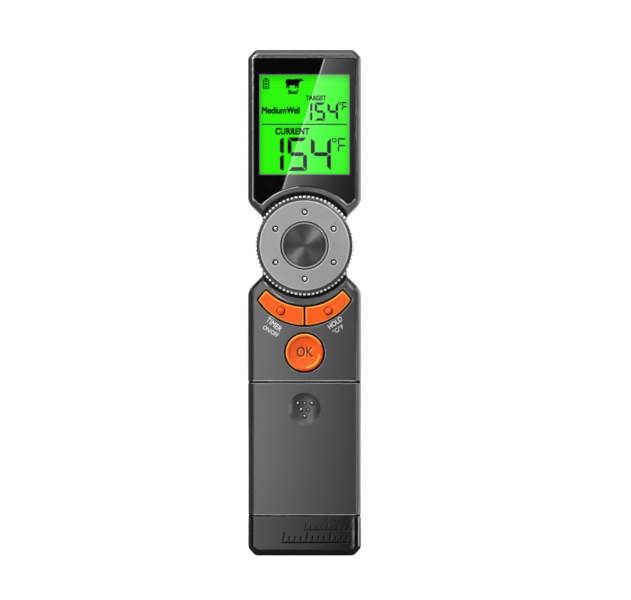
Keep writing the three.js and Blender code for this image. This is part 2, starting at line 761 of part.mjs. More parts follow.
place(
  G_root,
  "hinge_pin",
  cylX(HINGE_Y, HINGE_Z, 1.2, -10.3, 10.3, 14).subtract(cylX(HINGE_Y, HINGE_Z, 0.6, -20, 20, 8)),
  M.steel,
);
for (const [name, x0] of [
  ["hinge_washer_left", -7.15],
  ["hinge_washer_right", 6.6],
])
  place(
    G_root,
    name,
    cylX(HINGE_Y, HINGE_Z, 4.2, x0, x0 + 0.55, 18).subtract(
      cylX(HINGE_Y, HINGE_Z, 1.5, -20, 20, 12),
    ),
    M.white,
  );

// =====================================================================
// Magnets and screws
// =====================================================================
place(G_root, "magnet_right", cylY(MAGNETS[0][0], MAGNETS[0][1], 5, 8.6, 10.85, 24), M.magnet);
place(G_root, "magnet_left", cylY(MAGNETS[1][0], MAGNETS[1][1], 5, 8.6, 10.85, 24), M.magnet);
{
  const screw = (y0, shank) => {
    const head = cylY(0, 0, 1.9, y0, y0 + 1.3, 12).subtract(
      box(-1.2, 1.2, y0 + 0.6, y0 + 3, -0.25, 0.25).add(box(-0.25, 0.25, y0 + 0.6, y0 + 3, -1.2, 1.2)),
    );
    return head.add(cylY(0, 0, 0.9, y0 - shank, y0 + 0.1, 8));
  };
  const spots = [
    ["head_screw_right", SCREW_X, HEAD_SCREW_Z, 9.4, 11.5],
    ["head_screw_left", -SCREW_X, HEAD_SCREW_Z, 9.4, 11.5],
    ["grip_screw_right", SCREW_X, GRIP_SCREW_Z, 9.4, 11.5],
    ["grip_screw_left", -SCREW_X, GRIP_SCREW_Z, 9.4, 11.5],
    ["end_screw_right", SCREW_X, END_SCREW_Z, 9.65, 5.5],
    ["end_screw_left", -SCREW_X, END_SCREW_Z, 9.65, 5.5],
  ];
  for (const [name, x, z, y0, shank] of spots) {
    const g = new THREE.Group();
    g.position.set(x, 0, z);
    G_root.add(g);
    place(g, name, screw(y0, shank), M.steel);
  }
}

root.name = "meat_thermometer";
export default root;
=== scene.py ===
import math

import bmesh
import bpy
from mathutils import Matrix, Vector


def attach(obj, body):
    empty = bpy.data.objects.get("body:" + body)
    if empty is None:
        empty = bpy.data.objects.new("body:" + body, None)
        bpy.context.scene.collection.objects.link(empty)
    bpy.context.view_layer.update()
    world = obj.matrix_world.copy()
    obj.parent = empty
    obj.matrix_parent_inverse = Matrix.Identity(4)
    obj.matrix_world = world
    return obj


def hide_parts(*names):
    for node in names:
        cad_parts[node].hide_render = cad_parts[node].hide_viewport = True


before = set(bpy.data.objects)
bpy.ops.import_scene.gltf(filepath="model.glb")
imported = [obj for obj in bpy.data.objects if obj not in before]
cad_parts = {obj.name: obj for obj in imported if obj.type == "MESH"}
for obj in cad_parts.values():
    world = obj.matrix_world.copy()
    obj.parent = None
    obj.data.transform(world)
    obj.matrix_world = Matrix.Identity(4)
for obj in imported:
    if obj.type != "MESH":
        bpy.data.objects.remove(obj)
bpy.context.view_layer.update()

# Everything below is drawn in millimetres and turned into metres when a mesh is made.
S = 0.001
HALF_W, LENGTH = 20.0, 178.7
Y_FRONT, Y_BACK, Y_PART = -9.6, 11.0, 2.0
FILLET = 2.4
DOOR_LOW, DOOR_HIGH, SEAM = 14.35, 61.05, 0.25
DOOR_LEN = DOOR_HIGH - DOOR_LOW
DIAL_Z = 109.47
OK_Z, OK_R = 71.8, 6.65
DOT_X, DOT_Z = 8.4, 86.5
HINGE_Y, HINGE_Z = 5.2, 173.0
KEY_FRONT = -10.2
LCD = (-15.79, 15.77, 134.6, 169.67)  # the lit field
PI = math.pi

# ---------------------------------------------------------------------------
# The camera and the studio
# ---------------------------------------------------------------------------
scene = bpy.context.scene
scene.view_settings.view_transform = "Standard"
scene.view_settings.look = "None"

cam = bpy.data.cameras.new("camera")
cam.lens = 135
cam.sensor_width = 36
cam.clip_start, cam.clip_end = 0.01, 20
cam_o = bpy.data.objects.new("camera", cam)
scene.collection.objects.link(cam_o)
cam_o.location = (0.00386, -0.8433, 0.09031)
cam_o.rotation_euler = (PI / 2, 0, 0)
scene.camera = cam_o


# Studio levels: cards are seen only by reflections, lamps only by matt surfaces
BODY_CARD = [(-60, 0), (-37, 0), (-34, 9.0), (-25, 5.4), (-20, 4.0), (-12, 3.2), (0, 2.2), (12, 0.95), (20, 0.5), (25, 0.35), (26, 0), (60, 0)]
HEAD_CARD, BROW_CARD = 9.0, 1.7
LOW_CARD = [(-40, 0), (-22.8, 0), (-22.6, 9.0), (-20.9, 8.0), (-20.2, 2.2), (0, 1.1), (16.6, 0.2), (17.3, 0), (17.4, 6.0), (17.95, 6.0), (18.05, 0), (40, 0)]
RIM_CARD = [(-90, 3.0), (130, 6.0)]
GLARE, GLARE_X, GLARE_Z, LINE = 4.0, 0.1088, 0.026, 11.0
TOP_CARD, SPUN_CARD, SIDE_CARD, SPUN_HIGH = 1.6, 205.0, 11.0, 85.0
WORLD_DIFFUSE, WORLD_GLOSSY = 0.16, 0.018
KEY_POWER, FILL_POWER, TOP_POWER, RIM_POWER = 4.0, 0.8, 9.0, 0.9
BACK_CARD, BACK_POWER = 1.6, 6.0


def link(o):
    scene.collection.objects.link(o)
    return o


# ---------------------------------------------------------------------------
# Mesh helpers
# ---------------------------------------------------------------------------
def mesh_obj(name, verts, faces):
    me = bpy.data.meshes.new(name)
    me.from_pydata([(x * S, y * S, z * S) for x, y, z in verts], [], faces)
    me.update()
    o = bpy.data.objects.new(name, me)
    link(o)
    return o


def weld(o, dist=0.0015):
    bm = bmesh.new()
    bm.from_mesh(o.data)
    bmesh.ops.remove_doubles(bm, verts=bm.verts, dist=dist * S)
    bmesh.ops.recalc_face_normals(bm, faces=bm.faces)
    bm.to_mesh(o.data)
    bm.free()
    return o


def loft(name, rings, caps=True, pair_caps=False):
    """Closed skin through rings of equal length. pair_caps closes an end by rungs from side to side."""
    n = len(rings[0])
    verts = [p for r in rings for p in r]
    faces = []
    for k in range(len(rings) - 1):
        a, b = k * n, (k + 1) * n
        for i in range(n):
            j = (i + 1) % n
            faces.append((a + i, a + j, b + j, b + i))
    if caps:
        for a in (0, (len(rings) - 1) * n):
            if pair_caps:
                h = n // 2
                for i in range(h):
                    q = [a + i, a + i + 1, a + (n - i - 1) % n, a + (n - i) % n]
                    q = list(dict.fromkeys(q))
                    if len(q) > 2:
                        faces.append(q)
            else:
                faces.append([a + i for i in range(n)])
    return weld(mesh_obj(name, verts, faces))


def lathe(name, profile, axis, centre, seg=96):
    """A closed profile of (radius, along) turned about an axis through centre; both ends on the axis."""
    rings = []
    for r, t in profile:
        ring = []
        for i in range(seg):
            a = 2 * PI * i / seg
            u, v = r * math.cos(a), r * math.sin(a)
            if axis == "Y":
                ring.append((centre[0] + u, t, centre[1] + v))
            elif axis == "X":
                ring.append((t, centre[0] + u, centre[1] + v))
            else:
                ring.append((centre[0] + u, centre[1] + v, t))
        rings.append(ring)
    return loft(name, rings)


def ring_lathe(name, profile, axis, centre, seg=96):
    """A closed loop of (radius, along) that doesn't touch the axis."""
    verts, faces = [], []
    m = len(profile)
    for i in range(seg):
        a = 2 * PI * i / seg
        for r, t in profile:
            u, v = r * math.cos(a), r * math.sin(a)
            if axis == "Y":
                verts.append((centre[0] + u, t, centre[1] + v))
            elif axis == "X":
                verts.append((t, centre[0] + u, centre[1] + v))
            else:
                verts.append((centre[0] + u, centre[1] + v, t))
    for i in range(seg):
        j = (i + 1) % seg
        for k in range(m):
            l = (k + 1) % m
            faces.append((i * m + k, j * m + k, j * m + l, i * m + l))
    return weld(mesh_obj(name, verts, faces))


def bake(o):
    dg = bpy.context.evaluated_depsgraph_get()
    me = bpy.data.meshes.new_from_object(o.evaluated_get(dg))
    o.modifiers.clear()
    old = o.data
    o.data = me
    bpy.data.meshes.remove(old)
    return o


def cut(a, b, op="DIFFERENCE", keep=False):
    m = a.modifiers.new("cut", "BOOLEAN")
    m.operation, m.solver, m.object = op, "MANIFOLD", b
    bake(a)
    if not keep:
        drop(b)
    return a


def drop(o):
    me = o.data
    bpy.data.objects.remove(o)
    if isinstance(me, bpy.types.Mesh):
        bpy.data.meshes.remove(me)


def copy(o, name):
    c = o.copy()
    c.data = o.data.copy()
    c.name = name
    return link(c)


def box(name, x0, x1, y0, y1, z0, z1):
    return loft(
        name,
        [
            [(x0, y, z0), (x1, y, z0), (x1, y, z1), (x0, y, z1)]
            for y in (y0, y1)
        ],
    )


def soften(o, angle=34, weighted=True):
    """Smooth shading with hard edges kept, and normals weighted to the large faces."""
    bm = bmesh.new()
    bm.from_mesh(o.data)
    bmesh.ops.remove_doubles(bm, verts=bm.verts, dist=0.0012 * S)
    bmesh.ops.dissolve_degenerate(bm, edges=bm.edges, dist=0.0008 * S)
    lim = math.radians(angle)
    for f in bm.faces:
        f.smooth = True
    for e in bm.edges:
        e.smooth = e.calc_face_angle(0.0) < lim
    bm.to_mesh(o.data)
    bm.free()
    if weighted:
        m = o.modifiers.new("normals", "WEIGHTED_NORMAL")
        m.mode, m.weight, m.keep_sharp = "FACE_AREA", 60, True
        bake(o)
    return o


def merge(name, parts):
    """One object from several separate meshes."""
    bm = bmesh.new()
    for p in parts:
        bm.from_mesh(p.data)
        drop(p)
    me = bpy.data.meshes.new(name)
    bm.to_mesh(me)
    bm.free()
    return link(bpy.data.objects.new(name, me))


# ---------------------------------------------------------------------------
# Outlines
# ---------------------------------------------------------------------------
def rounded(points, d=0.0, steps=10, floor=0.0):
    """The polygon [(x, z, radius)], counter-clockwise, moved inwards by d, corners rounded. Every call gives the same number of points."""
    n = len(points)
    lines = []
    for i in range(n):
        a, b = points[i], points[(i + 1) % n]
        l = math.hypot(b[0] - a[0], b[1] - a[1])
        u = ((b[0] - a[0]) / l, (b[1] - a[1]) / l)
        lines.append(((a[0] - u[1] * d, a[1] + u[0] * d), u))
    out = []
    for i in range(n):
        (pa, ua), (pb, ub) = lines[i - 1], lines[i]
        cross = ua[0] * ub[1] - ua[1] * ub[0]
        dot = ua[0] * ub[0] + ua[1] * ub[1]
        w = (pb[0] - pa[0], pb[1] - pa[1])
        t = (w[0] * ub[1] - w[1] * ub[0]) / cross
        c = (pa[0] + ua[0] * t, pa[1] + ua[1] * t)
        turn = math.atan2(cross, dot)
        r = points[i][2] - d if turn > 0 else points[i][2] + d
        r = max(r, floor)
        tl = r * math.tan(abs(turn) / 2)
        s = (c[0] - ua[0] * tl, c[1] - ua[1] * tl)
        side = 1 if turn > 0 else -1
        m = (s[0] - ua[1] * r * side, s[1] + ua[0] * r * side)
        a0 = math.atan2(s[1] - m[1], s[0] - m[0])
        for k in range(steps + 1):
            a = a0 + turn * k / steps
            out.append((m[0] + r * math.cos(a), m[1] + r * math.sin(a)))
    return out


SIDE = [
    (17.4, 0, 2.0),
    (HALF_W, 2.6, 2.3),
    (HALF_W, 93.7, 5),
    (14.9, 98.8, 1.2),
    (14.9, 119.65, 1.2),
    (HALF_W, 124.75, 4.3),
    (HALF_W, 176, 2.3),
    (17.3, LENGTH, 2.3),
]
OUTLINE = SIDE + [(-x, z, r) for x, z, r in reversed(SIDE)]


def outline(d, steps=10):
    return rounded(OUTLINE, d, steps)


def at_y(points, y):
    return [(x, y, z) for x, z in points]


def circle_ring(cx, cz, r, n=128):
    return lambda d: [
        (cx + (r - d) * math.cos(2 * PI * i / n), cz + (r - d) * math.sin(2 * PI * i / n))
        for i in range(n)
    ]


def poly_ring(points, steps=8):
    return lambda d: rounded(points, d, steps)


def pocket(name, ring, y_floor, y_face, r, beyond=3.0, floor_r=0.0):
    """A cutter for a pocket whose mouth is rounded by r. ring(d) gives the outline moved inwards by d."""
    sgn = 1 if y_face > y_floor else -1
    rings = []
    if floor_r > 0:
        for k in range(5):
            a = PI / 2 * k / 4
            rings.append(at_y(ring(floor_r * (1 - math.sin(a))), y_floor + sgn * floor_r * (1 - math.cos(a))))
    else:
        rings.append(at_y(ring(0), y_floor))
    for k in range(7):
        a = PI / 2 * k / 6
        rings.append(at_y(ring(-r * (1 - math.cos(a))), y_face - sgn * r * (1 - math.sin(a))))
    rings.append(at_y(ring(-r - 0.02), y_face + sgn * 0.02))
    rings.append(at_y(ring(-r - 0.02), y_face + sgn * beyond))
    return loft(name, rings)


def boss_cap(name, ring, y_base, y_face, r, steps=6):
    """A solid raised from y_base to y_face with its front edge rounded by r."""
    sgn = 1 if y_face > y_base else -1
    rings = [at_y(ring(0), y_base)]
    for k in range(steps + 1):
        a = PI / 2 * k / steps
        rings.append(at_y(ring(r * (1 - math.cos(a))), y_face - sgn * r * (1 - math.sin(a))))
    return loft(name, rings)


# ---------------------------------------------------------------------------
# Body block and the cutters that part it
# ---------------------------------------------------------------------------
def body_block(name):
    rings = []
    n = 9
    for k in range(n + 1):
        t = PI / 2 * k / n
        rings.append(at_y(outline(FILLET * (1 - math.sin(t))), Y_FRONT + FILLET * (1 - math.cos(t))))
    for k in range(n + 1):
        t = PI / 2 * k / n
        rings.append(at_y(outline(FILLET * (1 - math.cos(t))), Y_BACK - FILLET * (1 - math.sin(t))))
    return loft(name, rings)


def part_cut(name, y0, sgn, r=0.22):
    """Removes what lies beyond y0 on the sgn side, and rounds the edge that is left."""
    rings = [at_y(outline(r), y0)]
    for k in range(1, 6):
        a = PI / 2 * k / 5
        rings.append(at_y(outline(r - r * math.sin(a)), y0 - sgn * r * (1 - math.cos(a))))
    rings.append(at_y(outline(-0.03), y0 - sgn * (r + 0.03)))
    rings.append(at_y(outline(-1.2), y0 - sgn * (r + 0.03)))
    rings.append(at_y(outline(-1.2), y0 + sgn * 30))
    return loft(name, rings)


def section(o):
    """Right half, front to back, of the body's section at a straight stretch, moved outwards by o."""
    r = max(FILLET + o, 0.02)
    cx, cf, cb = HALF_W - FILLET, Y_FRONT + FILLET, Y_BACK - FILLET
    r_x = cx + min(0.0, FILLET + o - r) * 0
    pts = [(0.0, cf - r), (r_x * 0.5, cf - r)]
    for k in range(10):
        a = PI / 2 * k / 9
        pts.append((r_x + r * math.sin(a), cf - r * math.cos(a)))
    for k in range(1, 16):
        pts.append((r_x + r, cf + (cb - cf) * k / 16))
    for k in range(10):
        a = PI / 2 * k / 9
        pts.append((r_x + r * math.cos(a), cb + r * math.sin(a)))
    pts += [(r_x * 0.5, cb + r), (0.0, cb + r)]
    return pts


def section_ring(o, zf, dz=0.0):
    p = section(o)
    ring = [(x, y, zf(y) + dz) for x, y in p]
    ring += [(-x, y, zf(y) + dz) for x, y in reversed(p[1:-1])]
    return ring


def level_cut(name, zf, sgn, r=0.3):
    """Removes what lies on the sgn side of the surface z = zf(y), and rounds the edge that is left."""
    rings = [section_ring(-r, zf)]
    for k in range(1, 6):
        a = PI / 2 * k / 5
        rings.append(section_ring(-r + r * math.sin(a), zf, -sgn * r * (1 - math.cos(a))))
    rings.append(section_ring(0.03, zf, -sgn * (r + 0.03)))
    rings.append(section_ring(1.2, zf, -sgn * (r + 0.03)))
    rings.append(section_ring(1.2, lambda y: 250.0 if sgn > 0 else -60.0))
    return loft(name, rings, pair_caps=True)


def arc_up(r):
    return lambda y: DOOR_LOW + math.sqrt(r * r - (min(max(y, Y_FRONT), 13) - Y_FRONT) ** 2)


def arc_down(r):
    return lambda y: DOOR_HIGH - math.sqrt(r * r - (min(max(y, Y_FRONT), 13) - Y_FRONT) ** 2)


def cavity(name, wall, y0, y1, z0, z1):
    c = loft(name, [at_y(outline(wall, 3), y) for y in (y0, y1)])
    return cut(c, box("slab", -30, 30, -30, 30, z0, z1), "INTERSECT")


def lens_ring_factory(steps=8):
    """A lens outline that keeps its number of points: straight runs and the arc, joined by small roundings."""

    def f(d):
        R = 21.0 + d
        h, top, low, r0 = 17.85 - d, 175.6 - d, 126.1 + 0.41 * d, max(0.9 - d, 0.02)
        out = []

        def corner(c, r, a0, a1, m=steps):
            for k in range(m + 1):
                a = a0 + (a1 - a0) * k / m
                out.append((c[0] + r * math.cos(a), c[1] + r * math.sin(a)))

        # right lower tip: the slanted side (45 degrees) meets the arc
        r1 = max(1.0 - d, 0.02)
        # slanted line through (17.7, 126.1) going down-left, moved inwards by d: x - z = c
        cc = 17.7 - 126.1 - d * math.sqrt(2)
        # tip circle of radius r1 touches the slanted line from the left-above side and the arc from outside
        best = None
        lo_x, hi_x = 12.0, 17.0
        for _ in range(60):
            mx = (lo_x + hi_x) / 2
            mz = mx - (cc - r1 * math.sqrt(2))
            g = math.hypot(mx, mz - DIAL_Z) - (R + r1)
            if g > 0:
                hi_x = mx
            else:
                lo_x = mx
            best = (mx, mz)
        mx, mz = best
        ang_line = -PI / 4
        ang_arc = math.atan2(DIAL_Z - mz, -mx)
        # sides
        corner_r = max(0.9 - d, 0.02)
        # slanted line to vertical side
        t = corner_r * math.tan(PI / 8)
        vx, vz = h, h - cc
        corner((vx - corner_r, vz + t), corner_r, -PI / 4, 0)
        corner((h - r0, top - r0), r0, 0, PI / 2)
        right = list(out)
        tip = []
        for k in range(steps + 1):
            a = ang_arc + (ang_line - ang_arc) * k / steps
            tip.append((mx + r1 * math.cos(a), mz + r1 * math.sin(a)))
        right = tip + right
        left = [(-x, z) for x, z in reversed(right)]
        a_t = math.atan2(mx, mz - DIAL_Z)
        arc = []
        n = 48
        for i in range(1, n):
            a = -a_t + 2 * a_t * i / n
            arc.append((R * math.sin(a), DIAL_Z + R * math.cos(a)))
        return right + left + arc

    return f


lens_ring = lens_ring_factory()

KEY_ANGLE = 0.7086


def key_ring_factory(side):
    """Outline of a curved key on +X (side 1), or of both together (side 0), as rounded corners on two arcs."""

    def f(d):
        ci, ri = (0.0, DIAL_Z - 3.2), 18.4 + d
        co, ro = (0.0, DIAL_Z - 8.8), 19.3 - d
        ang = KEY_ANGLE
        ux, uz = math.sin(ang), -math.cos(ang)  # end line, through the dial centre
        # end line moved inwards by d
        px, pz = -math.cos(ang) * d, -math.sin(ang) * d

        def hit(c, r):
            # point on the end line at distance r from c
            ox, oz = px - c[0], DIAL_Z + pz - c[1]
            b = ux * ox + uz * oz
            q = -b + math.sqrt(b * b - (ox * ox + oz * oz - r * r))
            return (px + ux * q, DIAL_Z + pz + uz * q)

        pi_, po = hit(ci, ri), hit(co, ro)
        ai = math.atan2(pi_[0] - ci[0], ci[1] - pi_[1])
        ao = math.atan2(po[0] - co[0], co[1] - po[1])
        x0 = 0.27 + d
        n = 26
        si = math.asin(x0 / ri) if side else -ai
        so = math.asin(x0 / ro) if side else -ao
        inner = [(ci[0] + ri * math.sin(si + (ai - si) * k / n), ci[1] - ri * math.cos(si + (ai - si) * k / n)) for k in range(n + 1)]
        outer = [(co[0] + ro * math.sin(so + (ao - so) * k / n), co[1] - ro * math.cos(so + (ao - so) * k / n)) for k in range(n + 1)]
        pts = outer + list(reversed(inner))
        # round the four corners
        return round_corners(pts, [0, n, n + 1, 2 * n + 1], max(0.45 - d, 0.05))

    return f


def round_corners(pts, corners, r, steps=6):
    n = len(pts)
    out = []
    skip = set(corners)
    for i, p in enumerate(pts):
        if i not in skip:
            out.append(p)
            continue
        a, b = pts[i - 1], pts[(i + 1) % n]
        # use directions of the neighbouring runs
        ua = ((p[0] - a[0]), (p[1] - a[1]))
        ub = ((b[0] - p[0]), (b[1] - p[1]))
        la, lb = math.hypot(*ua), math.hypot(*ub)
        ua = (ua[0] / la, ua[1] / la)
        ub = (ub[0] / lb, ub[1] / lb)
        turn = math.atan2(ua[0] * ub[1] - ua[1] * ub[0], ua[0] * ub[0] + ua[1] * ub[1])
        tl = min(abs(r * math.tan(turn / 2)), 0.8 * la, 0.8 * lb)
        rr = tl / abs(math.tan(turn / 2))
        s = (p[0] - ua[0] * tl, p[1] - ua[1] * tl)
        side = 1 if turn > 0 else -1
        m = (s[0] - ua[1] * rr * side, s[1] + ua[0] * rr * side)
        a0 = math.atan2(s[1] - m[1], s[0] - m[0])
        for k in range(steps + 1):
            a_ = a0 + turn * k / steps
            out.append((m[0] + rr * math.cos(a_), m[1] + rr * math.sin(a_)))
    return out


def mirror_ring(f):
    return lambda d: [(-x, z) for x, z in reversed(f(d))]


# ---------------------------------------------------------------------------
# Materials
# ---------------------------------------------------------------------------
def lin(c):
    """#rrggbb or an sRGB triple in 0..1 to linear RGBA."""
    if isinstance(c, str):
        c = [int(c[i : i + 2], 16) / 255 for i in (1, 3, 5)]
    return tuple(((v / 12.92) if v <= 0.04045 else ((v + 0.055) / 1.055) ** 2.4) for v in c) + (1.0,)


def set_stops(e, stops):
    """Fills a colour ramp; stops are (position, colour) in rising order."""
    e[0].position, e[0].color = stops[0]
    e[1].position, e[1].color = stops[-1]
    for p, c in stops[1:-1]:
        e.new(p).color = c


class Mat:
    """A procedural Principled material with a few shorthands."""

    def __init__(self, name, rough=0.5, metal=0.0, spec=0.5, coat=0.0, coat_rough=0.05, ior=1.5):
        self.m = bpy.data.materials.new(name)
        self.m.use_nodes = True
        self.nt = self.m.node_tree
        self.b = self.nt.nodes["Principled BSDF"]
        self.b.inputs["Roughness"].default_value = rough
        self.b.inputs["Metallic"].default_value = metal
        self.b.inputs["Specular IOR Level"].default_value = spec
        self.b.inputs["IOR"].default_value = ior
        self.b.inputs["Coat Weight"].default_value = coat
        self.b.inputs["Coat Roughness"].default_value = coat_rough
        self._coord = None

    def node(self, kind, **inputs):
        n = self.nt.nodes.new(kind)
        for k, v in inputs.items():
            n.inputs[k.replace("_", " ")].default_value = v
        return n

    def link(self, a, b):
        self.nt.links.new(a, b)

    @property
    def coord(self):
        if self._coord is None:
            self._coord = self.nt.nodes.new("ShaderNodeTexCoord").outputs["Object"]
        return self._coord

    def noise(self, scale, detail=2.0, rough=0.5, stretch=None):
        n = self.node("ShaderNodeTexNoise", Scale=scale, Detail=detail, Roughness=rough)
        if stretch:
            m = self.nt.nodes.new("ShaderNodeMapping")
            m.inputs["Scale"].default_value = stretch
            self.link(self.coord, m.inputs["Vector"])
            self.link(m.outputs["Vector"], n.inputs["Vector"])
        else:
            self.link(self.coord, n.inputs["Vector"])
        return n.outputs["Fac"]

    def ramp(self, fac, stops):
        r = self.nt.nodes.new("ShaderNodeValToRGB")
        set_stops(r.color_ramp.elements, stops)
        self.link(fac, r.inputs["Fac"])
        return r.outputs["Color"]

    def map(self, v, a, b, c, d):
        n = self.nt.nodes.new("ShaderNodeMapRange")
        for k, x in zip(("From Min", "From Max", "To Min", "To Max"), (a, b, c, d)):
            n.inputs[k].default_value = x
        self.link(v, n.inputs["Value"])
        return n.outputs["Result"]

    def rough_from(self, v, lo, hi, a=0.3, b=0.7):
        self.link(self.map(v, a, b, lo, hi), self.b.inputs["Roughness"])

    def colour_from(self, v, c0, c1, a=0.35, b=0.65):
        self.link(self.ramp(v, [(a, c0), (b, c1)]), self.b.inputs["Base Color"])

    def bump(self, v, strength, dist_mm):
        n = self.nt.nodes.new("ShaderNodeBump")
        n.inputs["Strength"].default_value = strength
        n.inputs["Distance"].default_value = dist_mm * S
        self.link(v, n.inputs["Height"])
        self.link(n.outputs["Normal"], self.b.inputs["Normal"])
        return n


def scaled(c, k):
    return (c[0] * k, c[1] * k, c[2] * k, 1.0)


def grain_plastic(name, colour, rough, scale=1500.0, strength=0.25, dist=0.03, vary=0.06, spec=0.5, coat=0.0, sway=0.06):
    m = Mat(name, rough=rough, spec=spec, coat=coat, coat_rough=0.12)
    c = lin(colour)
    fine = m.noise(scale, 3.0, 0.55)
    wide = m.noise(45.0, 3.0, 0.6)
    m.colour_from(wide, scaled(c, 1 - vary), scaled(c, 1 + vary))
    m.rough_from(fine, rough - sway, rough + sway)
    m.bump(fine, strength, dist)
    return m.m


def spun_metal(name, colour, rough, centre, axis="Y", aniso=0.7, scale=900.0, strength=0.1, rings=True, metal=1.0):
    """Metal with fine turned rings about an axis through centre (mm)."""
    m = Mat(name, rough=rough, metal=metal)
    c = lin(colour)
    mp = m.nt.nodes.new("ShaderNodeMapping")
    mp.inputs["Location"].default_value = tuple(-v * S for v in centre)
    m.link(m.coord, mp.inputs["Vector"])
    sep = m.nt.nodes.new("ShaderNodeSeparateXYZ")
    m.link(mp.outputs["Vector"], sep.inputs["Vector"])
    a, b = {"Y": ("X", "Z"), "X": ("Y", "Z"), "Z": ("X", "Y")}[axis]
    comb = m.nt.nodes.new("ShaderNodeCombineXYZ")
    m.link(sep.outputs[a], comb.inputs["X"])
    m.link(sep.outputs[b], comb.inputs["Y"])
    ln = m.nt.nodes.new("ShaderNodeVectorMath")
    ln.operation = "LENGTH"
    m.link(comb.outputs["Vector"], ln.inputs[0])
    n = m.node("ShaderNodeTexNoise", Scale=scale, Detail=4.0, Roughness=0.6)
    n.noise_dimensions = "1D"
    m.link(ln.outputs["Value"], n.inputs["W"])
    fac = n.outputs["Fac"]
    m.colour_from(fac, scaled(c, 0.86), scaled(c, 1.12))
    m.rough_from(fac, rough - 0.05, rough + 0.07)
    m.bump(fac, strength, 0.02)
    if aniso:
        m.b.inputs["Anisotropic"].default_value = aniso
        m.b.inputs["Anisotropic Rotation"].default_value = 0.25
        t = m.nt.nodes.new("ShaderNodeTangent")
        t.direction_type, t.axis = "RADIAL", axis
        m.link(t.outputs["Tangent"], m.b.inputs["Tangent"])
    return m.m


def drawn_metal(name, colour, rough, stretch=(1, 1, 0.05), scale=2500.0, aniso=0.0):
    m = Mat(name, rough=rough, metal=1.0)
    c = lin(colour)
    fac = m.noise(scale, 3.0, 0.6, stretch)
    m.colour_from(fac, scaled(c, 0.85), scaled(c, 1.08))
    m.rough_from(fac, rough - 0.06, rough + 0.08)
    m.bump(fac, 0.08, 0.02)
    m.b.inputs["Anisotropic"].default_value = aniso
    return m.m


MAT = {}
MAT["shell"] = grain_plastic("shell_plastic", "#272728", 0.3, 2300.0, 0.06, 0.02, 0.04, sway=0.03)
MAT["door"] = grain_plastic("door_plastic", "#262627", 0.3, 2300.0, 0.06, 0.02, 0.04, sway=0.03)
MAT["endcap"] = grain_plastic("endcap_plastic", "#0e0e0f", 0.1, 900.0, 0.01, 0.005, 0.05)
MAT["back"] = MAT["shell"]
MAT["lens"] = grain_plastic("lens_gloss", "#050506", 0.02, 60.0, 0.0, 0.0, 0.05, spec=0.5)
MAT["orange"] = grain_plastic("key_orange", "#f0590c", 0.46, 1300.0, 0.12, 0.02, 0.04, spec=0.14)
MAT["knurl"] = grain_plastic("knurl_black", "#141416", 0.32, 900.0, 0.15, 0.02, 0.08)
# painted highlight for thin rounded edges
MAT["painted_highlight_bright"] = grain_plastic("painted_highlight_bright", "#d8d8d8", 0.3, 1300.0, 0.02, 0.01, 0.04)
# painted highlight for the dial plate's edges and the left of the lens arc
MAT["painted_highlight_plate"] = grain_plastic("painted_highlight_plate", "#b4b4b6", 0.3, 1300.0, 0.02, 0.01, 0.04)
# painted highlight, soft: the band on the top edge
MAT["painted_highlight_soft"] = grain_plastic("painted_highlight_soft", "#535456", 0.4, 1300.0, 0.05, 0.01, 0.05)
# painted highlight: a thin light line where a rounding starts
MAT["painted_highlight_line"] = grain_plastic("painted_highlight_line", "#86868a", 0.4, 1300.0, 0.05, 0.01, 0.05)
MAT["lens_edge"] = grain_plastic("lens_edge", "#0a0a0b", 0.5, 900.0, 0.05, 0.01, 0.05, spec=0.1)
# matt finish, with a lighter grey that is painted light on the crescent's slope
MAT["scoop"] = grain_plastic("scoop_matt_painted_light", "#48484a", 0.7, 1300.0, 0.05, 0.01, 0.05, spec=0.2)
MAT["dots"] = grain_plastic("door_dots", "#3a3a3c", 0.07, 1300.0, 0.02, 0.01, 0.05, spec=1.0)
MAT["dots"].node_tree.nodes["Principled BSDF"].inputs["IOR"].default_value = 1.75
# painted shade: near-black for recesses, gaps and seats, where shade falls
MAT["painted_shade"] = grain_plastic("painted_shade_black", "#050505", 0.6, 900.0, 0.1, 0.02, 0.05, spec=0.2)
# painted highlight: light rims on rounded edges
MAT["edge"] = grain_plastic("painted_highlight_edge", "#8e9094", 0.36, 1300.0, 0.1, 0.02, 0.08)
# painted highlight: yellow on the keys' rounded edges
MAT["orange_painted_highlight"] = grain_plastic("key_painted_highlight", "#ffb432", 0.4, 1300.0, 0.05, 0.01, 0.04, spec=0.3)
# painted shade: darker orange in grooves and on the upper left of the dish wall
MAT["orange_painted_shade"] = grain_plastic("key_painted_shade", "#c23c08", 0.5, 1300.0, 0.1, 0.02, 0.05, spec=0.2)
MAT["dot_shade"] = grain_plastic("dot_shade", "#4c1204", 0.55, 1300.0, 0.1, 0.02, 0.05, spec=0.1)
# painted shade: redder orange on the lower right of the OK key's edge
MAT["orange_painted_shade_rim"] = grain_plastic("key_shade", "#d83206", 0.46, 1300.0, 0.1, 0.02, 0.05, spec=0.2)
# painted shade: dark brown in the sunk letters
MAT["sign_painted_shade"] = grain_plastic("sign_painted_shade", "#561c06", 0.5, 1300.0, 0.1, 0.02, 0.05, spec=0.2)
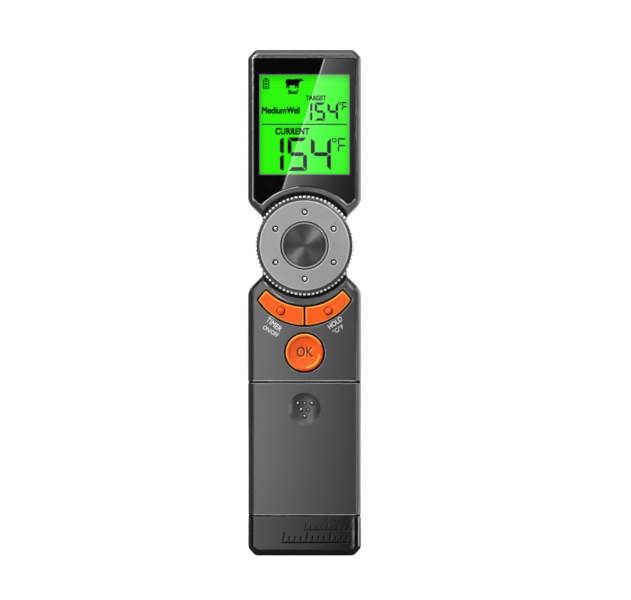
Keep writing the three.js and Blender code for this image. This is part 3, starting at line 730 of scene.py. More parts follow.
# painted highlight: pale on the letters' lower right step
MAT["sign_painted_highlight"] = grain_plastic("sign_painted_highlight", "#ffc07a", 0.45, 1300.0, 0.05, 0.01, 0.04, spec=0.3)
MAT["black"] = grain_plastic("black_plastic", "#1a1a1c", 0.5, 1200.0, 0.25, 0.03, 0.08)
MAT["rubber"] = grain_plastic("black_rubber", "#161618", 0.78, 800.0, 0.35, 0.04, 0.1)
MAT["white"] = grain_plastic("white_plastic", "#e4e7e0", 0.5, 900.0, 0.15, 0.02, 0.03)
MAT["steel"] = drawn_metal("drawn_steel", "#c9cacc", 0.24)
MAT["probe"] = drawn_metal("probe_steel", "#98999c", 0.2, (1, 1, 0.04), 3000.0, 0.3)
MAT["magnet"] = drawn_metal("plated_magnet", "#8f9196", 0.3, (1, 1, 1), 4000.0)
MAT["dial_face"] = spun_metal("dial_face_satin", "#848485", 0.34, (0, 0, DIAL_Z), "Y", 0.0, 6000.0, 0.02, metal=0.0)
MAT["cap"] = spun_metal("dial_cap_spun", "#3c3c3d", 0.5, (0, 0, DIAL_Z), "Y", 0.95, 9000.0, 0.02)
MAT["trim"] = spun_metal("trim_satin", "#8f8f90", 0.3, (0, 0, DIAL_Z), "Y", 0.0, 900.0, 0.02, metal=0.0)
# light teeth whose white also stands in for painted glints on the knurl
MAT["bead"] = grain_plastic("bead_white_with_painted_glint", "#f2f2f2", 0.22, 600.0, 0.02, 0.01, 0.03)
MAT["pin"] = drawn_metal("pin_polished", "#9c9c9d", 0.22, (1, 1, 1), 600.0)
MAT["copper"] = drawn_metal("copper_film", "#b97a42", 0.35, (1, 1, 1), 1200.0)
MAT["red"] = grain_plastic("red_wire", "#b0201a", 0.45, 900.0, 0.1, 0.02, 0.06)
MAT["print"] = grain_plastic("white_print", "#e9e9ea", 0.5, 900.0, 0.05, 0.01, 0.02)
MAT["mark"] = grain_plastic("lcd_mark", "#070009", 0.02, 60.0, 0.0, 0.0, 0.05, spec=0.2)
# painted glare tint: violet on the marks to the right of the glare's edge
MAT["mark_painted_glare_tint"] = grain_plastic("lcd_mark_painted_glare_tint", "#26022f", 0.02, 60.0, 0.0, 0.0, 0.05, spec=0.2)
MAT["border"] = grain_plastic("lcd_border", "#5a1a66", 0.02, 60.0, 0.0, 0.0, 0.05)


def board_material():
    m = Mat("circuit_board", rough=0.42)
    n = m.nt.nodes.new("ShaderNodeTexVoronoi")
    n.inputs["Scale"].default_value = 420.0
    m.link(m.coord, n.inputs["Vector"])
    m.link(
        m.ramp(n.outputs["Distance"], [(0.0, lin("#0f4a26")), (0.25, lin("#18653a")), (0.9, lin("#0d3f20"))]),
        m.b.inputs["Base Color"],
    )
    m.bump(n.outputs["Distance"], 0.1, 0.03)
    return m.m


def lcd_material():
    """Lit green field, with painted shade along its edges."""
    m = Mat("lcd_field", rough=0.02, spec=0.5)
    sep = m.nt.nodes.new("ShaderNodeSeparateXYZ")
    m.link(m.coord, sep.inputs["Vector"])

    def edge(sock, at, sgn, width):
        return m.map(sep.outputs[sock], at * S, (at + sgn * width) * S, 0.0, 1.0)

    x0, x1, z0, z1 = LCD
    # painted shade: width and depth at each edge, darkest along the top
    parts = [
        (edge("X", x0, 1, 2.0), 0.62),
        (edge("X", x1, -1, 2.4), 0.66),
        (edge("Z", z0, 1, 1.5), 0.78),
        (edge("Z", z1, -1, 3.0), 0.52),
    ]
    total = None
    for p, low in parts:
        pw = m.nt.nodes.new("ShaderNodeMath")
        pw.operation = "POWER"
        pw.inputs[1].default_value = 0.6
        m.link(p, pw.inputs[0])
        v = m.map(pw.outputs["Value"], 0.0, 1.0, low, 1.0)
        if total is None:
            total = v
        else:
            mul = m.nt.nodes.new("ShaderNodeMath")
            mul.operation = "MULTIPLY"
            m.link(total, mul.inputs[0])
            m.link(v, mul.inputs[1])
            total = mul.outputs["Value"]
    fine = m.noise(3500.0, 2.0, 0.5)
    f = m.map(fine, 0.3, 0.7, 0.985, 1.0)
    mul = m.nt.nodes.new("ShaderNodeMath")
    mul.operation = "MULTIPLY"
    m.link(total, mul.inputs[0])
    m.link(f, mul.inputs[1])
    mix = m.nt.nodes.new("ShaderNodeMix")
    mix.data_type = "RGBA"
    m.link(mul.outputs["Value"], mix.inputs["Factor"])
    mix.inputs[6].default_value = (0.0, 0.0, 0.0, 1)
    mix.inputs[7].default_value = (0.023, 0.93, 0.0012, 1)
    m.link(mix.outputs[2], m.b.inputs["Emission Color"])
    m.b.inputs["Emission Strength"].default_value = 1.0
    m.b.inputs["Base Color"].default_value = (0.002, 0.01, 0.002, 1)
    return m.m


MAT["lcd"] = lcd_material()
MAT["board"] = board_material()


def cell_material(name, low, high):
    """Blue wrap with a copper-coloured band towards high."""
    m = Mat(name, rough=0.3, metal=0.4)
    sep = m.nt.nodes.new("ShaderNodeSeparateXYZ")
    m.link(m.coord, sep.inputs["Vector"])
    n = m.noise(300.0, 3.0, 0.5)
    w = m.map(sep.outputs["Z"], low, high, 0.0, 1.0)
    add = m.nt.nodes.new("ShaderNodeMath")
    add.operation = "MULTIPLY_ADD"
    m.link(n, add.inputs[0])
    add.inputs[1].default_value = 0.004
    m.link(w, add.inputs[2])
    m.link(
        m.ramp(
            add.outputs["Value"],
            [(0.0, lin("#2c4a6b")), (0.765, lin("#33557a")), (0.775, lin("#b98a4a")), (1.0, lin("#c59a58"))],
        ),
        m.b.inputs["Base Color"],
    )
    m.bump(n, 0.05, 0.02)
    return m.m


MAT["cell"] = cell_material("cell_wrap_up", 0.0156, 0.0593)
MAT["cell_down"] = cell_material("cell_wrap_down", 0.0593, 0.0156)


def paint(o, key):
    o.data.materials.clear()
    o.data.materials.append(MAT[key])
    return o


SLOT = {
    "shell": "shell",
    "door": "door",
    "endcap": "endcap",
    "lens": "lens",
    "orange": "orange",
    "knurl": "knurl",
    "black": "black_plastic",
    "rubber": "rubber",
    "white": "white_plastic",
    "steel": "steel",
    "probe": "steel",
    "magnet": "magnet",
    "dial_face": "dial_face",
    "cap": "dark_steel",
    "trim": "steel",
    "bead": "white_plastic",
    "pin": "steel",
    "print": "white_plastic",
    "mark": "lens",
    "border": "lens",
    "lcd": "lcd",
    "cell": "cell",
    "cell_down": "cell",
}


def piece(o, name, key, body, *nodes, angle=34, weighted=True, soft=True):
    o.name = name
    if soft:
        soften(o, angle, weighted)
    paint(o, key)
    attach(o, body)
    if nodes:
        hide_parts(*nodes)
    return o


def tidy(o, off=0.001):
    """Takes out points that a cut has left part way along a straight edge, which split into slivers as triangles."""
    bm = bmesh.new()
    bm.from_mesh(o.data)
    spare = set()
    for v in bm.verts:
        if len(v.link_edges) != 2:
            continue
        a, c = (e.other_vert(v) for e in v.link_edges)
        if a in spare or c in spare:
            continue
        run = c.co - a.co
        if (v.co - a.co).cross(run).length < off * S * max(run.length, 1e-12):
            spare.add(v)
    if spare:
        bmesh.ops.dissolve_verts(bm, verts=list(spare))
        bm.to_mesh(o.data)
    bm.free()
    return len(spare)


def repaint(o, key, test):
    """Gives the faces that pass the test a second material. test(x, y, z, normal) in millimetres."""
    o.data.materials.append(MAT[key])
    i = len(o.data.materials) - 1
    for f in o.data.polygons:
        c = f.center / S
        if test(c.x, c.y, c.z, f.normal):
            f.material_index = i


# ---------------------------------------------------------------------------
# Housings
# ---------------------------------------------------------------------------
block = body_block("block")

GROOVE_Z, GROOVE_R, GROOVE_Y = 66.0, 9.0, Y_BACK + 5.5
SCREWS = [
    ("head_screw_right", 15.4, 127.6),
    ("head_screw_left", -15.4, 127.6),
    ("grip_screw_right", 15.4, 82.0),
    ("grip_screw_left", -15.4, 82.0),
]
END_SCREWS = [("end_screw_right", 15.4, 9.0), ("end_screw_left", -15.4, 9.0)]
MAGNETS = [("magnet_right", 11.3, 146.0), ("magnet_left", -11.3, 146.0)]

# front ---------------------------------------------------------------------
front = copy(block, "front_shell")
cut(front, part_cut("c", Y_PART - 0.1, 1))
cut(front, level_cut("c", arc_up(DOOR_LEN + SEAM + 0.4), -1, 0.26))
hollow = cavity("h", 1.8, -7.4, 4, 63, 200)
cut(hollow, lathe("c", [(0, -20), (19.9, -20), (19.9, -3.7), (0, -3.7)], "Y", (0, DIAL_Z)))
cut(front, hollow)
cut(front, box("c", -12.7, 12.7, -5.8, 5, 55, 63.5))
# crescent scooped out below the dial, before the pocket
scoop = [(0, -7.9), (12.0, -7.9)]
for k in range(6):
    t = k / 5
    scoop.append((12.0 + 2.6 * t, -7.9 - 1.62 * t))
scoop += [(14.78, -9.585), (14.95, -9.62), (14.95, -14), (0, -14)]
cut(front, lathe("c", scoop, "Y", (0, DIAL_Z - 6.3), 160))
pit = [(0, -5.3), (18.6, -5.3), (18.6, -8.5)]
for k in range(1, 9):
    a = PI / 2 * k / 8
    pit.append((18.6 + 0.95 * (1 - math.cos(a)), -8.5 - 1.1 * math.sin(a)))
pit += [(19.55, -9.62), (19.55, -14), (0, -14)]
cut(front, lathe("c", pit, "Y", (0, DIAL_Z), 200))
cut(front, lathe("c", [(0, -6), (3.6, -6), (3.6, 0), (0, 0)], "Y", (0, DIAL_Z), 48))
cut(front, pocket("c", lambda d: lens_ring(d - 0.12), -8.45, Y_FRONT, 0.34))
cut(front, box("c", -16.25, 16.25, -9, -2, 134.2, 170.2))
key_pair = key_ring_factory(0)
cut(front, pocket("c", lambda d: key_pair(d - 0.58), -5, Y_FRONT, 0.26))
cut(front, pocket("c", circle_ring(0, OK_Z, OK_R + 0.62, 128), -4, Y_FRONT, 0.26))
cut(front, box("c", -7.4, 7.4, -0.8, 5, 170, 190))
piece(front, "front_shell", "shell", "housing", "front_housing")


def dial_r(x, z):
    return math.hypot(x, z - DIAL_Z)


# painted shade on the dial pocket's floor and wall
repaint(front, "painted_shade", lambda x, y, z, n: (y > -5.6 and dial_r(x, z) < 18.7 and n.y < -0.9) or (y > -8.7 and dial_r(x, z) < 18.72 and abs(n.y) < 0.2))
# painted shade in the gaps round the keys
repaint(front, "painted_shade", lambda x, y, z, n: -9.34 < y < -7.3 and abs(x) < 17.1 and 60 < z < 97 and dial_r(x, z) > 19.2)
# painted light: the crescent's slope in lighter matt grey
repaint(front, "scoop", lambda x, y, z, n: -9.55 < y < -7.7 and dial_r(x, z) > 18.75 and math.hypot(x, z - DIAL_Z + 6.3) < 15.2 and n.y < -0.3)
# painted highlight along the rims of the key pockets
repaint(front, "edge", lambda x, y, z, n: y < -9.34 and abs(x) < 17.2 and 60 < z < 97 and (z < 92.5 or n.z < 0.05) and n.y > -0.985 and math.hypot(x, z - DIAL_Z + 6.3) > 15.1 and dial_r(x, z) > 19.9)
# painted highlight: thin line on the left edge beside the lens
repaint(front, "painted_highlight_line", lambda x, y, z, n: -9.598 < y < -9.41 and n.y > -0.998 and x < -17.6 and 125 < z < 176)
# painted highlight on the top edge above the lens
repaint(front, "painted_highlight_soft", lambda x, y, z, n: -9.59 < y < -9.25 and n.y > -0.97 and z > 175.4 and abs(x) < 18)
# painted highlight along the lens pocket's rims
repaint(front, "edge", lambda x, y, z, n: y < -9.3 and z > 119 and n.y > -0.985 and dial_r(x, z) > 20.4 and ((z < 127 and n.z > 0.05) or z > 174.9) and abs(x) < 17.3 and z < 176.1)
# painted shade on the dial pocket's wall below the lens
repaint(front, "painted_shade", lambda x, y, z, n: -9.5 < y < -8.3 and dial_r(x, z) < 19.4 and z > 119)
# painted highlight on the upper left of the dial pocket's rim
repaint(front, "painted_highlight_line", lambda x, y, z, n: y < -9.45 and 19.3 < dial_r(x, z) < 19.75 and z > 121 and x < -3 and n.y > -0.985)
# painted highlight on the left of the lens pocket's lower arc
repaint(front, "painted_highlight_plate", lambda x, y, z, n: y < -9.3 and 119 < z < 131 and n.y > -0.985 and 20.2 < dial_r(x, z) < 21.2 and n.z > 0.05 and -15 < x < -2)
# painted highlight along the lower edge above the door
repaint(front, "painted_highlight_bright", lambda x, y, z, n: y < -9.3 and abs(x) < 18.2 and n.z < -0.15 and abs(z - arc_up(DOOR_LEN + SEAM + 0.4)(y)) < 0.4)

# back ----------------------------------------------------------------------
back = copy(block, "back_shell")
cut(back, part_cut("c", Y_PART + 0.1, -1))
cut(back, level_cut("c", lambda y: DOOR_LOW - 0.1, -1, 0.22))
hollow = cavity("h", 1.8, 0, Y_BACK - 1.8, 5, 200)
cut(hollow, box("c", -4.6, 4.6, 4.4, 20, 50.6, 168))
cut(hollow, box("c", -10.4, 10.4, -2, 20, 165.3, 190))
cut(hollow, lathe("c", [(0, -30), (GROOVE_R + 1.6, -30), (GROOVE_R + 1.6, 30), (0, 30)], "X", (GROOVE_Y, GROOVE_Z)))
for _, x, z in MAGNETS:
    cut(hollow, lathe("c", [(0, 7.2), (6.2, 7.2), (6.2, 20), (0, 20)], "Y", (x, z), 64))
for _, x, z in SCREWS:
    cut(hollow, lathe("c", [(0, -5), (2.5, -5), (2.5, 20), (0, 20)], "Y", (x, z), 40))
cut(back, hollow)
lugs = [box("l", k * 17.4 - 4 * (k > 0), k * 17.4 + 4 * (k < 0), 3, 7.5, 5, 15) for k in (1, -1)]
for l in lugs:
    cut(back, l, "UNION")
for k in (1, -1):
    x0, x1 = sorted((k * 13.4, k * 19))
    cut(back, box("l", x0, x1, 3, 10, DOOR_LOW - 0.1, 18), "UNION")
cut(back, pocket("c", poly_ring([(-3.2, 52, 2.6), (3.2, 52, 2.6), (3.2, 175, 0.5), (-3.2, 175, 0.5)]), 5.6, Y_BACK, 0.3, floor_r=1.6))
cut(back, pocket("c", poly_ring([(-7.4, 166.6, 1.2), (7.4, 166.6, 1.2), (7.4, 200, 0.5), (-7.4, 200, 0.5)]), -0.8, Y_BACK, 0.3))
# finger groove across the back
prof = []
h0 = math.sqrt(GROOVE_R**2 - (10.3 - GROOVE_Y) ** 2)
a0 = math.atan2(10.3 - GROOVE_Y, h0)
for k in range(25):
    a = a0 + (PI - 0) * 0
    ang = a0 + (-PI - 2 * a0) * k / 24
    prof.append((GROOVE_Y + GROOVE_R * math.sin(ang), GROOVE_Z + GROOVE_R * math.cos(ang)))
left_z, right_z = prof[-1][1], prof[0][1]
ease_r, ease_l = [], []
for k in range(1, 7):
    t = k / 6
    y = 10.3 + 0.72 * (1 - (1 - t) ** 1.8)
    w = 1.5 * t**1.6 + 0.42 * t
    ease_r.append((y, right_z + w))
    ease_l.append((y, left_z - w))
full = list(reversed(ease_r)) + prof + ease_l
full = [(14.0, ease_r[-1][1] + 0.2)] + full + [(14.0, ease_l[-1][1] - 0.2)]
cut(back, loft("c", [[(x, y, z) for y, z in full] for x in (-30, 30)]))
cut(back, lathe("c", [(0, -10.4), (1.4, -10.4), (1.4, 10.4), (0, 10.4)], "X", (HINGE_Y, HINGE_Z), 48))
for _, x, z in MAGNETS:
    cut(back, pocket("c", circle_ring(x, z, 5.2, 96), 8.4, Y_BACK, 0.25))
for _, x, z in SCREWS:
    cut(back, pocket("c", circle_ring(x, z, 2.1, 64), 9.2, Y_BACK, 0.25))
piece(back, "back_shell", "shell", "housing", "back_housing")

# end cap -------------------------------------------------------------------
low = copy(block, "end_cap_shell")


def cap_top(y):
    return arc_down(DOOR_LEN + SEAM + 0.04)(y) if y < 2.0 else DOOR_LOW - 0.35


cut(low, level_cut("c", cap_top, 1, 0.26))
cut(low, cavity("h", 1.8, Y_FRONT + 1.8, Y_BACK - 1.8, 1.8, 40))
for _, x, z in END_SCREWS:
    cut(low, lathe("c", [(0, 7.7), (2.7, 7.7), (2.7, 9.6), (0, 9.6)], "Y", (x, z), 40), "UNION")
    cut(low, pocket("c", circle_ring(x, z, 2.1, 64), 9.5, Y_BACK, 0.25))
piece(low, "end_cap_shell", "endcap", "housing", "end_cap")

# battery door --------------------------------------------------------------
door = copy(block, "door_shell")
cut(door, part_cut("c", Y_PART - 0.1, 1))
cut(door, level_cut("c", arc_up(DOOR_LEN - 0.02), 1, 0.26))
cut(door, level_cut("c", arc_down(DOOR_LEN - 0.14), -1, 0.26))
cut(door, cavity("h", 1.6, Y_FRONT + 1.6, 10, -20, 200))
DISH_Z, DISH_R, DISH_D = 52.0, 5.75, 1.2
R = (DISH_R**2 + DISH_D**2) / (2 * DISH_D)
prof = [(0, Y_FRONT + DISH_D)]
a1 = math.asin((DISH_R - 0.12) / R)
for k in range(1, 19):
    a = a1 * k / 18
    prof.append((R * math.sin(a), Y_FRONT + DISH_D - R * (1 - math.cos(a))))
prof += [(DISH_R + 0.02, Y_FRONT - 0.012), (DISH_R + 0.02, -14), (0, -14)]
cut(door, lathe("c", prof, "Y", (0, DISH_Z), 128))
DOTS = ((-2.5, 1.9), (0, 1.9), (2.5, 1.9), (-1.25, -0.4), (1.25, -0.4), (0, -2.7))
for x, z in DOTS:
    y = Y_FRONT + DISH_D - R + math.sqrt(R * R - x * x - z * z)
    prof = [(0, y + 0.3), (0.66, y + 0.3)] + [(0.66 * math.cos(PI / 2 * k / 8), y - 0.62 * math.sin(PI / 2 * k / 8)) for k in range(9)]
    cut(door, ring_lathe("g", [(0.5, y - 0.9), (0.8, y - 0.9), (0.8, y + 0.05), (0.5, y + 0.22)], "Y", (x, DISH_Z + z), 32))
    cut(door, lathe("c", prof, "Y", (x, DISH_Z + z), 32), "UNION")
for k in (1, -1):
    x0, x1 = (8, 12) if k > 0 else (-12, -8)
    cut(door, box("t", x0, x1, -8.05, -7.2, DOOR_LOW + 0.2, 18), "UNION")
    cut(door, box("t", x0, x1, -7.6, -7.2, 12.6, 18), "UNION")
piece(door, "door_shell", "door", "battery_door", "battery_door")


def dot_r(x, z):
    return min(math.hypot(x - a, z - DISH_Z - b) for a, b in DOTS)


repaint(door, "dots", lambda x, y, z, n: dot_r(x, z) < 0.68 and y < -8.4)
# painted shade in a ring round each dot
repaint(door, "painted_shade", lambda x, y, z, n: 0.64 < dot_r(x, z) < 0.84 and -9.5 < y < -8.2)
# painted highlight along the door's top edge
repaint(door, "edge", lambda x, y, z, n: y < -9.3 and n.z > 0.2 and abs(z - arc_up(DOOR_LEN - 0.02)(y)) < 0.4)
# painted highlight along the door's lower edge
repaint(door, "painted_highlight_bright", lambda x, y, z, n: y < -9.3 and abs(x) < 18.2 and n.z < -0.15 and abs(z - arc_down(DOOR_LEN - 0.14)(y)) < 0.4)

drop(block)

# ---------------------------------------------------------------------------
# Display
# ---------------------------------------------------------------------------
LENS_Y = Y_FRONT + 0.05
lens = boss_cap("lens", lens_ring, Y_FRONT + 1.05, LENS_Y, 0.22)
piece(lens, "lens_panel", "lens", "housing", "display_lens")
repaint(lens, "lens_edge", lambda x, y, z, n: n.y > -0.999)


def plate(name, x0, x1, z0, z1, y0, y1):
    return box(name, x0, x1, y0, y1, z0, z1)


x0, x1, z0, z1 = LCD
border = plate("b", x0 - 0.34, x1 + 0.34, z0 - 0.4, z1 + 0.36, LENS_Y - 0.004, LENS_Y + 0.4)
piece(border, "lcd_border", "border", "housing", soft=False)
field = plate("f", x0, x1, z0, z1, LENS_Y - 0.008, LENS_Y + 0.3)
piece(field, "lcd_field", "lcd", "housing", "lcd_glass", soft=False)

MARK_Y = LENS_Y - 0.012


def flat(points, y0=MARK_Y, y1=None):
    y1 = LENS_Y + 0.05 if y1 is None else y1
    return loft("m", [at_y(points, y) for y in (y0, y1)])


def seg7(x0, x1, z0, z1, on, t, gap=0.14, tip=0.5):
    """Seven-segment figure from polygons, in the box x0..x1, z0..z1."""
    zm = (z0 + z1) / 2
    h = t / 2
    k = t * tip
    g = gap
    shapes = {
        "a": [(x0 + g, z1), (x1 - g, z1), (x1 - g - t, z1 - t), (x0 + g + t, z1 - t)],
        "d": [(x0 + g, z0), (x0 + g + t, z0 + t), (x1 - g - t, z0 + t), (x1 - g, z0)],
        "g": [(x0 + g + k, zm), (x0 + g + t, zm + h), (x1 - g - t, zm + h), (x1 - g - k, zm), (x1 - g - t, zm - h), (x0 + g + t, zm - h)],
        "f": [(x0, z1 - g - 0.1), (x0 + t, z1 - g - t), (x0 + t, zm + h + g), (x0 + k, zm + g), (x0, zm + g + k * 0.3)],
        "e": [(x0, z0 + g + 0.1), (x0, zm - g - k * 0.3), (x0 + k, zm - g), (x0 + t, zm - h - g), (x0 + t, z0 + g + t)],
        "b": [(x1, z1 - g - 0.1), (x1 - t, z1 - g - t), (x1 - t, zm + h + g), (x1 - k, zm + g), (x1, zm + g + k * 0.3)],
        "c": [(x1, z0 + g + 0.1), (x1, zm - g - k * 0.3), (x1 - k, zm - g), (x1 - t, zm - h - g), (x1 - t, z0 + g + t)],
    }
    return [flat(shapes[s]) for s in on]


def one(x0, x1, z0, z1, gap=0.2):
    """The figure 1 as two upright bars with pointed ends."""
    zm, xm, p = (z0 + z1) / 2, (x0 + x1) / 2, (x1 - x0) * 0.5
    up = [(x0, zm + gap + p), (x1 - p * 0.6, zm + gap), (x1, zm + gap + p * 0.5), (x1, z1 - p * 0.4), (x1 - p * 0.5, z1), (x0, z1 - p)]
    dn = [(x0, zm - gap - p), (x0, z0 + p), (x1 - p * 0.5, z0), (x1, z0 + p * 0.4), (x1, zm - gap - p * 0.5), (x1 - p * 0.6, zm - gap)]
    return [flat(up), flat(dn)]


def hoop(x, z, r, w, n=32, y0=MARK_Y, y1=None):
    y1 = LENS_Y + 0.05 if y1 is None else y1
    return ring_lathe("m", [(r - w / 2, y0), (r + w / 2, y0), (r + w / 2, y1), (r - w / 2, y1)], "Y", (x, z), n)


def bar(x0, x1, z0, z1, y0=MARK_Y, y1=None):
    return flat([(x0, z0), (x1, z0), (x1, z1), (x0, z1)], y0, y1)


def letter_f(x0, x1, z0, z1, t, gap=0.12):
    zm = z0 + (z1 - z0) * 0.5
    return [
        bar(x0, x0 + t, zm + gap, z1 - gap - t),
        bar(x0, x0 + t, z0, zm - t - gap * 0.2),
        bar(x0 + 0.1 * t, x1, z1 - t, z1),
        bar(x0 + 0.5 * t, x1, zm - t, zm + gap * 0.2),
    ]


def words(text, x, z, size, y_face, depth=0.05, rot=0.0, bold=0.0, align="CENTER", shear=0.0, space=1.0, squeeze=1.0, fat=0.0):
    """Plain generic lettering as a thin raised mesh facing -Y, in millimetres. bold thickens its strokes by that much."""
    if bold:
        c, s_ = math.cos(rot) * bold / 2, math.sin(rot) * bold / 2
        return merge(
            "words",
            [
                words(text, x + k * c + j * s_, z - k * s_ + j * c, size, y_face - 0.0004 * q, depth, rot, 0.0, align, shear, space, squeeze)
                for q, (k, j) in enumerate(((-1, -1), (1, -1), (1, 1), (-1, 1)))
            ],
        )
    cu = bpy.data.curves.new("words", "FONT")
    cu.body = text
    cu.size = size
    cu.align_x, cu.align_y = align, "CENTER"
    cu.shear = shear
    cu.space_character = space
    cu.extrude = depth
    cu.offset = fat
    cu.resolution_u = 4
    o = bpy.data.objects.new("words", cu)
    link(o)
    dg = bpy.context.evaluated_depsgraph_get()
    me = bpy.data.meshes.new_from_object(o.evaluated_get(dg))
    bpy.data.objects.remove(o)
    bpy.data.curves.remove(cu)
    m = (
        Matrix.Scale(S, 4)
        @ Matrix.Translation((x, y_face, z))
        @ Matrix.Rotation(rot, 4, "Y")
        @ Matrix.Rotation(PI / 2, 4, "X")
        @ Matrix.Diagonal((squeeze, 1, 1, 1))
    )
    me.transform(m)
    return link(bpy.data.objects.new("words", me))


def px(p):
    return (p - 304.54) * 0.3523


def pz(p):
    return (556.35 - p) * 0.3523


marks = []
# large figures
marks += one(px(279.9), px(283.9), pz(170.9), pz(137.6))
marks += seg7(px(287.6), px(307.0), pz(171.0), pz(137.4), "afgcd", 1.42)
marks += seg7(px(310.8), px(331.0), pz(171.0), pz(137.4), "fbgc", 1.42)
marks.append(hoop(px(334.3), pz(140.2), 0.68, 0.4))
marks += letter_f(px(337.6), px(345.0), pz(151.4), pz(138.0), 0.62)
# small figures
marks += one(px(310.0), px(312.4), pz(120.8), pz(102.6), 0.12)
marks += seg7(px(314.6), px(325.2), pz(120.8), pz(102.4), "afgcd", 0.94, 0.1)
marks += seg7(px(327.4), px(338.2), pz(120.8), pz(102.4), "fbgc", 0.94, 0.1)
marks.append(hoop(px(339.6), pz(103.4), 0.36, 0.34))
marks += letter_f(px(341.6), px(346.6), pz(109.8), pz(101.8), 0.58, 0.06)
# rule between the two halves
marks.append(bar(px(262.2), px(346.8), pz(124.9), pz(123.6)))
# battery sign
bx, bz0, bz1 = px(266.0), pz(89.2), pz(77.6)
for s in (-1, 1):
    marks.append(bar(bx + s * 0.98 - 0.2, bx + s * 0.98 + 0.2, bz0 + 0.3, bz1 - 0.75))
marks.append(bar(bx - 0.92, bx + 0.92, bz0 + 0.0, bz0 + 0.36))
marks.append(bar(bx - 0.92, bx + 0.92, bz1 - 0.78, bz1 - 0.46))
marks.append(bar(bx - 0.45, bx + 0.45, bz1 - 0.44, bz1 - 0.02))
for k in range(3):
    zc = bz0 + 0.85 + k * 0.98
    marks.append(bar(bx - 0.58, bx + 0.58, zc - 0.33, zc + 0.33))


def beast():
    """A plain grazing animal's outline, drawn as simple overlapping shapes."""
    x0, z0 = px(285.3), pz(88.9)
    body = [
        (0.25, 3.25), (0.6, 3.5), (1.6, 3.52), (2.6, 3.42), (3.5, 3.5), (4.2, 3.62), (4.75, 3.55),
        (4.95, 3.8), (5.2, 3.62), (5.65, 3.6), (5.8, 3.78), (5.95, 3.45), (6.35, 3.05), (6.4, 2.78), (6.1, 2.68),
        (5.6, 2.75), (5.2, 2.5), (4.95, 2.0), (4.78, 1.55), (4.8, 0.22), (4.26, 0.22), (4.2, 0.9), (3.98, 0.95),
        (3.95, 0.22), (3.42, 0.22), (3.4, 1.3), (2.9, 1.14), (2.0, 1.14), (1.5, 1.36), (1.55, 0.75), (1.64, 0.22), (1.08, 0.22),
        (1.0, 0.8), (0.86, 0.8), (0.8, 0.22), (0.26, 0.22), (0.34, 1.0), (0.3, 1.7), (0.22, 2.4),
        (0.08, 1.9), (0.02, 1.3), (-0.08, 1.32), (-0.04, 2.2), (0.08, 2.9),
    ]
    return flat([(x0 + x, z0 + z) for x, z in reversed(body)])


marks.append(beast())
marks.append(words("Beef", px(292.9), pz(92.2), 1.95, MARK_Y + 0.03, 0.03, bold=0.18))
marks.append(words("TARGET", px(316.0), pz(98.2), 2.3, MARK_Y + 0.03, 0.03, bold=0.22, space=1.06, squeeze=0.80))
marks.append(words("CURRENT", px(292.2), pz(131.6), 3.15, MARK_Y + 0.03, 0.03, bold=0.3, space=1.05, squeeze=0.82))
marks.append(words("Medium", px(274.0), pz(110.6), 3.25, MARK_Y + 0.03, 0.03, bold=0.26, squeeze=0.84))
marks.append(words("Well", px(293.5), pz(110.6), 3.25, MARK_Y + 0.03, 0.03, bold=0.26, squeeze=0.73))
lcd_marks = merge("lcd_marks", marks)
piece(lcd_marks, "lcd_marks", "mark", "housing", soft=False)
# painted glare tint on the marks right of the glare's slanting edge
repaint(lcd_marks, "mark_painted_glare_tint", lambda x, y, z, n: x > -7.55 + (z - 129.36) * 0.3186)

# ---------------------------------------------------------------------------
# Dial
# ---------------------------------------------------------------------------
body_profile = [
    (3.1, -9.05), (15.95, -9.05), (15.95, -9.72), (16.05, -9.84), (16.2, -9.9), (16.5, -9.9),
    (16.66, -9.84), (16.76, -9.68), (16.76, -9.3), (16.9, -9.05), (16.9, -6.2), (16.7, -5.9), (3.1, -5.9),
]
ring = ring_lathe("r", body_profile, "Y", (0, DIAL_Z), 192)
piece(ring, "dial_rim", "knurl", "dial", "dial_ring")

# knurl teeth, white, partly as painted glints
bead_parts = []
for i in range(72):
    a = 2 * PI * i / 72
    ca, sa = math.cos(a), math.sin(a)
    rings_ = []
    # a rounded rib: dome at the front, straight along the rim, closed at the back
    prof = [(0.0, -9.88)] + [(math.sin(PI / 2 * k / 5), -9.88 + 0.42 * (1 - math.cos(PI / 2 * k / 5))) for k in range(1, 6)] + [(1.0, -6.3), (0.0, -6.1)]
    for f, y in prof:
        rr = []
        for j in range(12):
            b = 2 * PI * j / 12
            u, v = 0.4 * f * math.cos(b), 0.54 * f * math.sin(b)
            rad = 17.2 + u
            rr.append((rad * ca - v * sa, y, DIAL_Z + rad * sa + v * ca))
        rings_.append(rr)
    bead_parts.append(loft("bead", rings_))
beads = merge("dial_beads", bead_parts)
piece(beads, "dial_beads", "bead", "dial", weighted=False)

# face plate, with six pin seats
face_profile = [(8.58, -9.3), (8.58, -10.68), (8.68, -10.84), (8.86, -10.9), (15.45, -10.9), (15.66, -10.86), (15.8, -10.72), (15.85, -10.5), (15.85, -9.3)]
face = ring_lathe("f", face_profile, "Y", (0, DIAL_Z), 192)
pins = []
for i in range(6):
    a = PI / 6 + i * PI / 3
    x, z = 11.8 * math.cos(a), DIAL_Z + 11.8 * math.sin(a)
    cut(face, pocket("c", circle_ring(x, z, 1.2, 48), -10.0, -10.9, 0.24))
    prof = [(0, -9.9), (0.86, -9.9)] + [(0.86 * math.cos(PI / 2 * k / 8), -10.28 - 0.68 * math.sin(PI / 2 * k / 8)) for k in range(9)]
    pins.append(lathe("p", prof, "Y", (x, z), 40))
piece(face, "dial_plate", "dial_face", "dial", "dial_face")


def in_seat(x, y, z, n):
    return y > -10.62 and any(math.hypot(x - 11.8 * math.cos(PI / 6 + i * PI / 3), z - DIAL_Z - 11.8 * math.sin(PI / 6 + i * PI / 3)) < 1.36 for i in range(6))


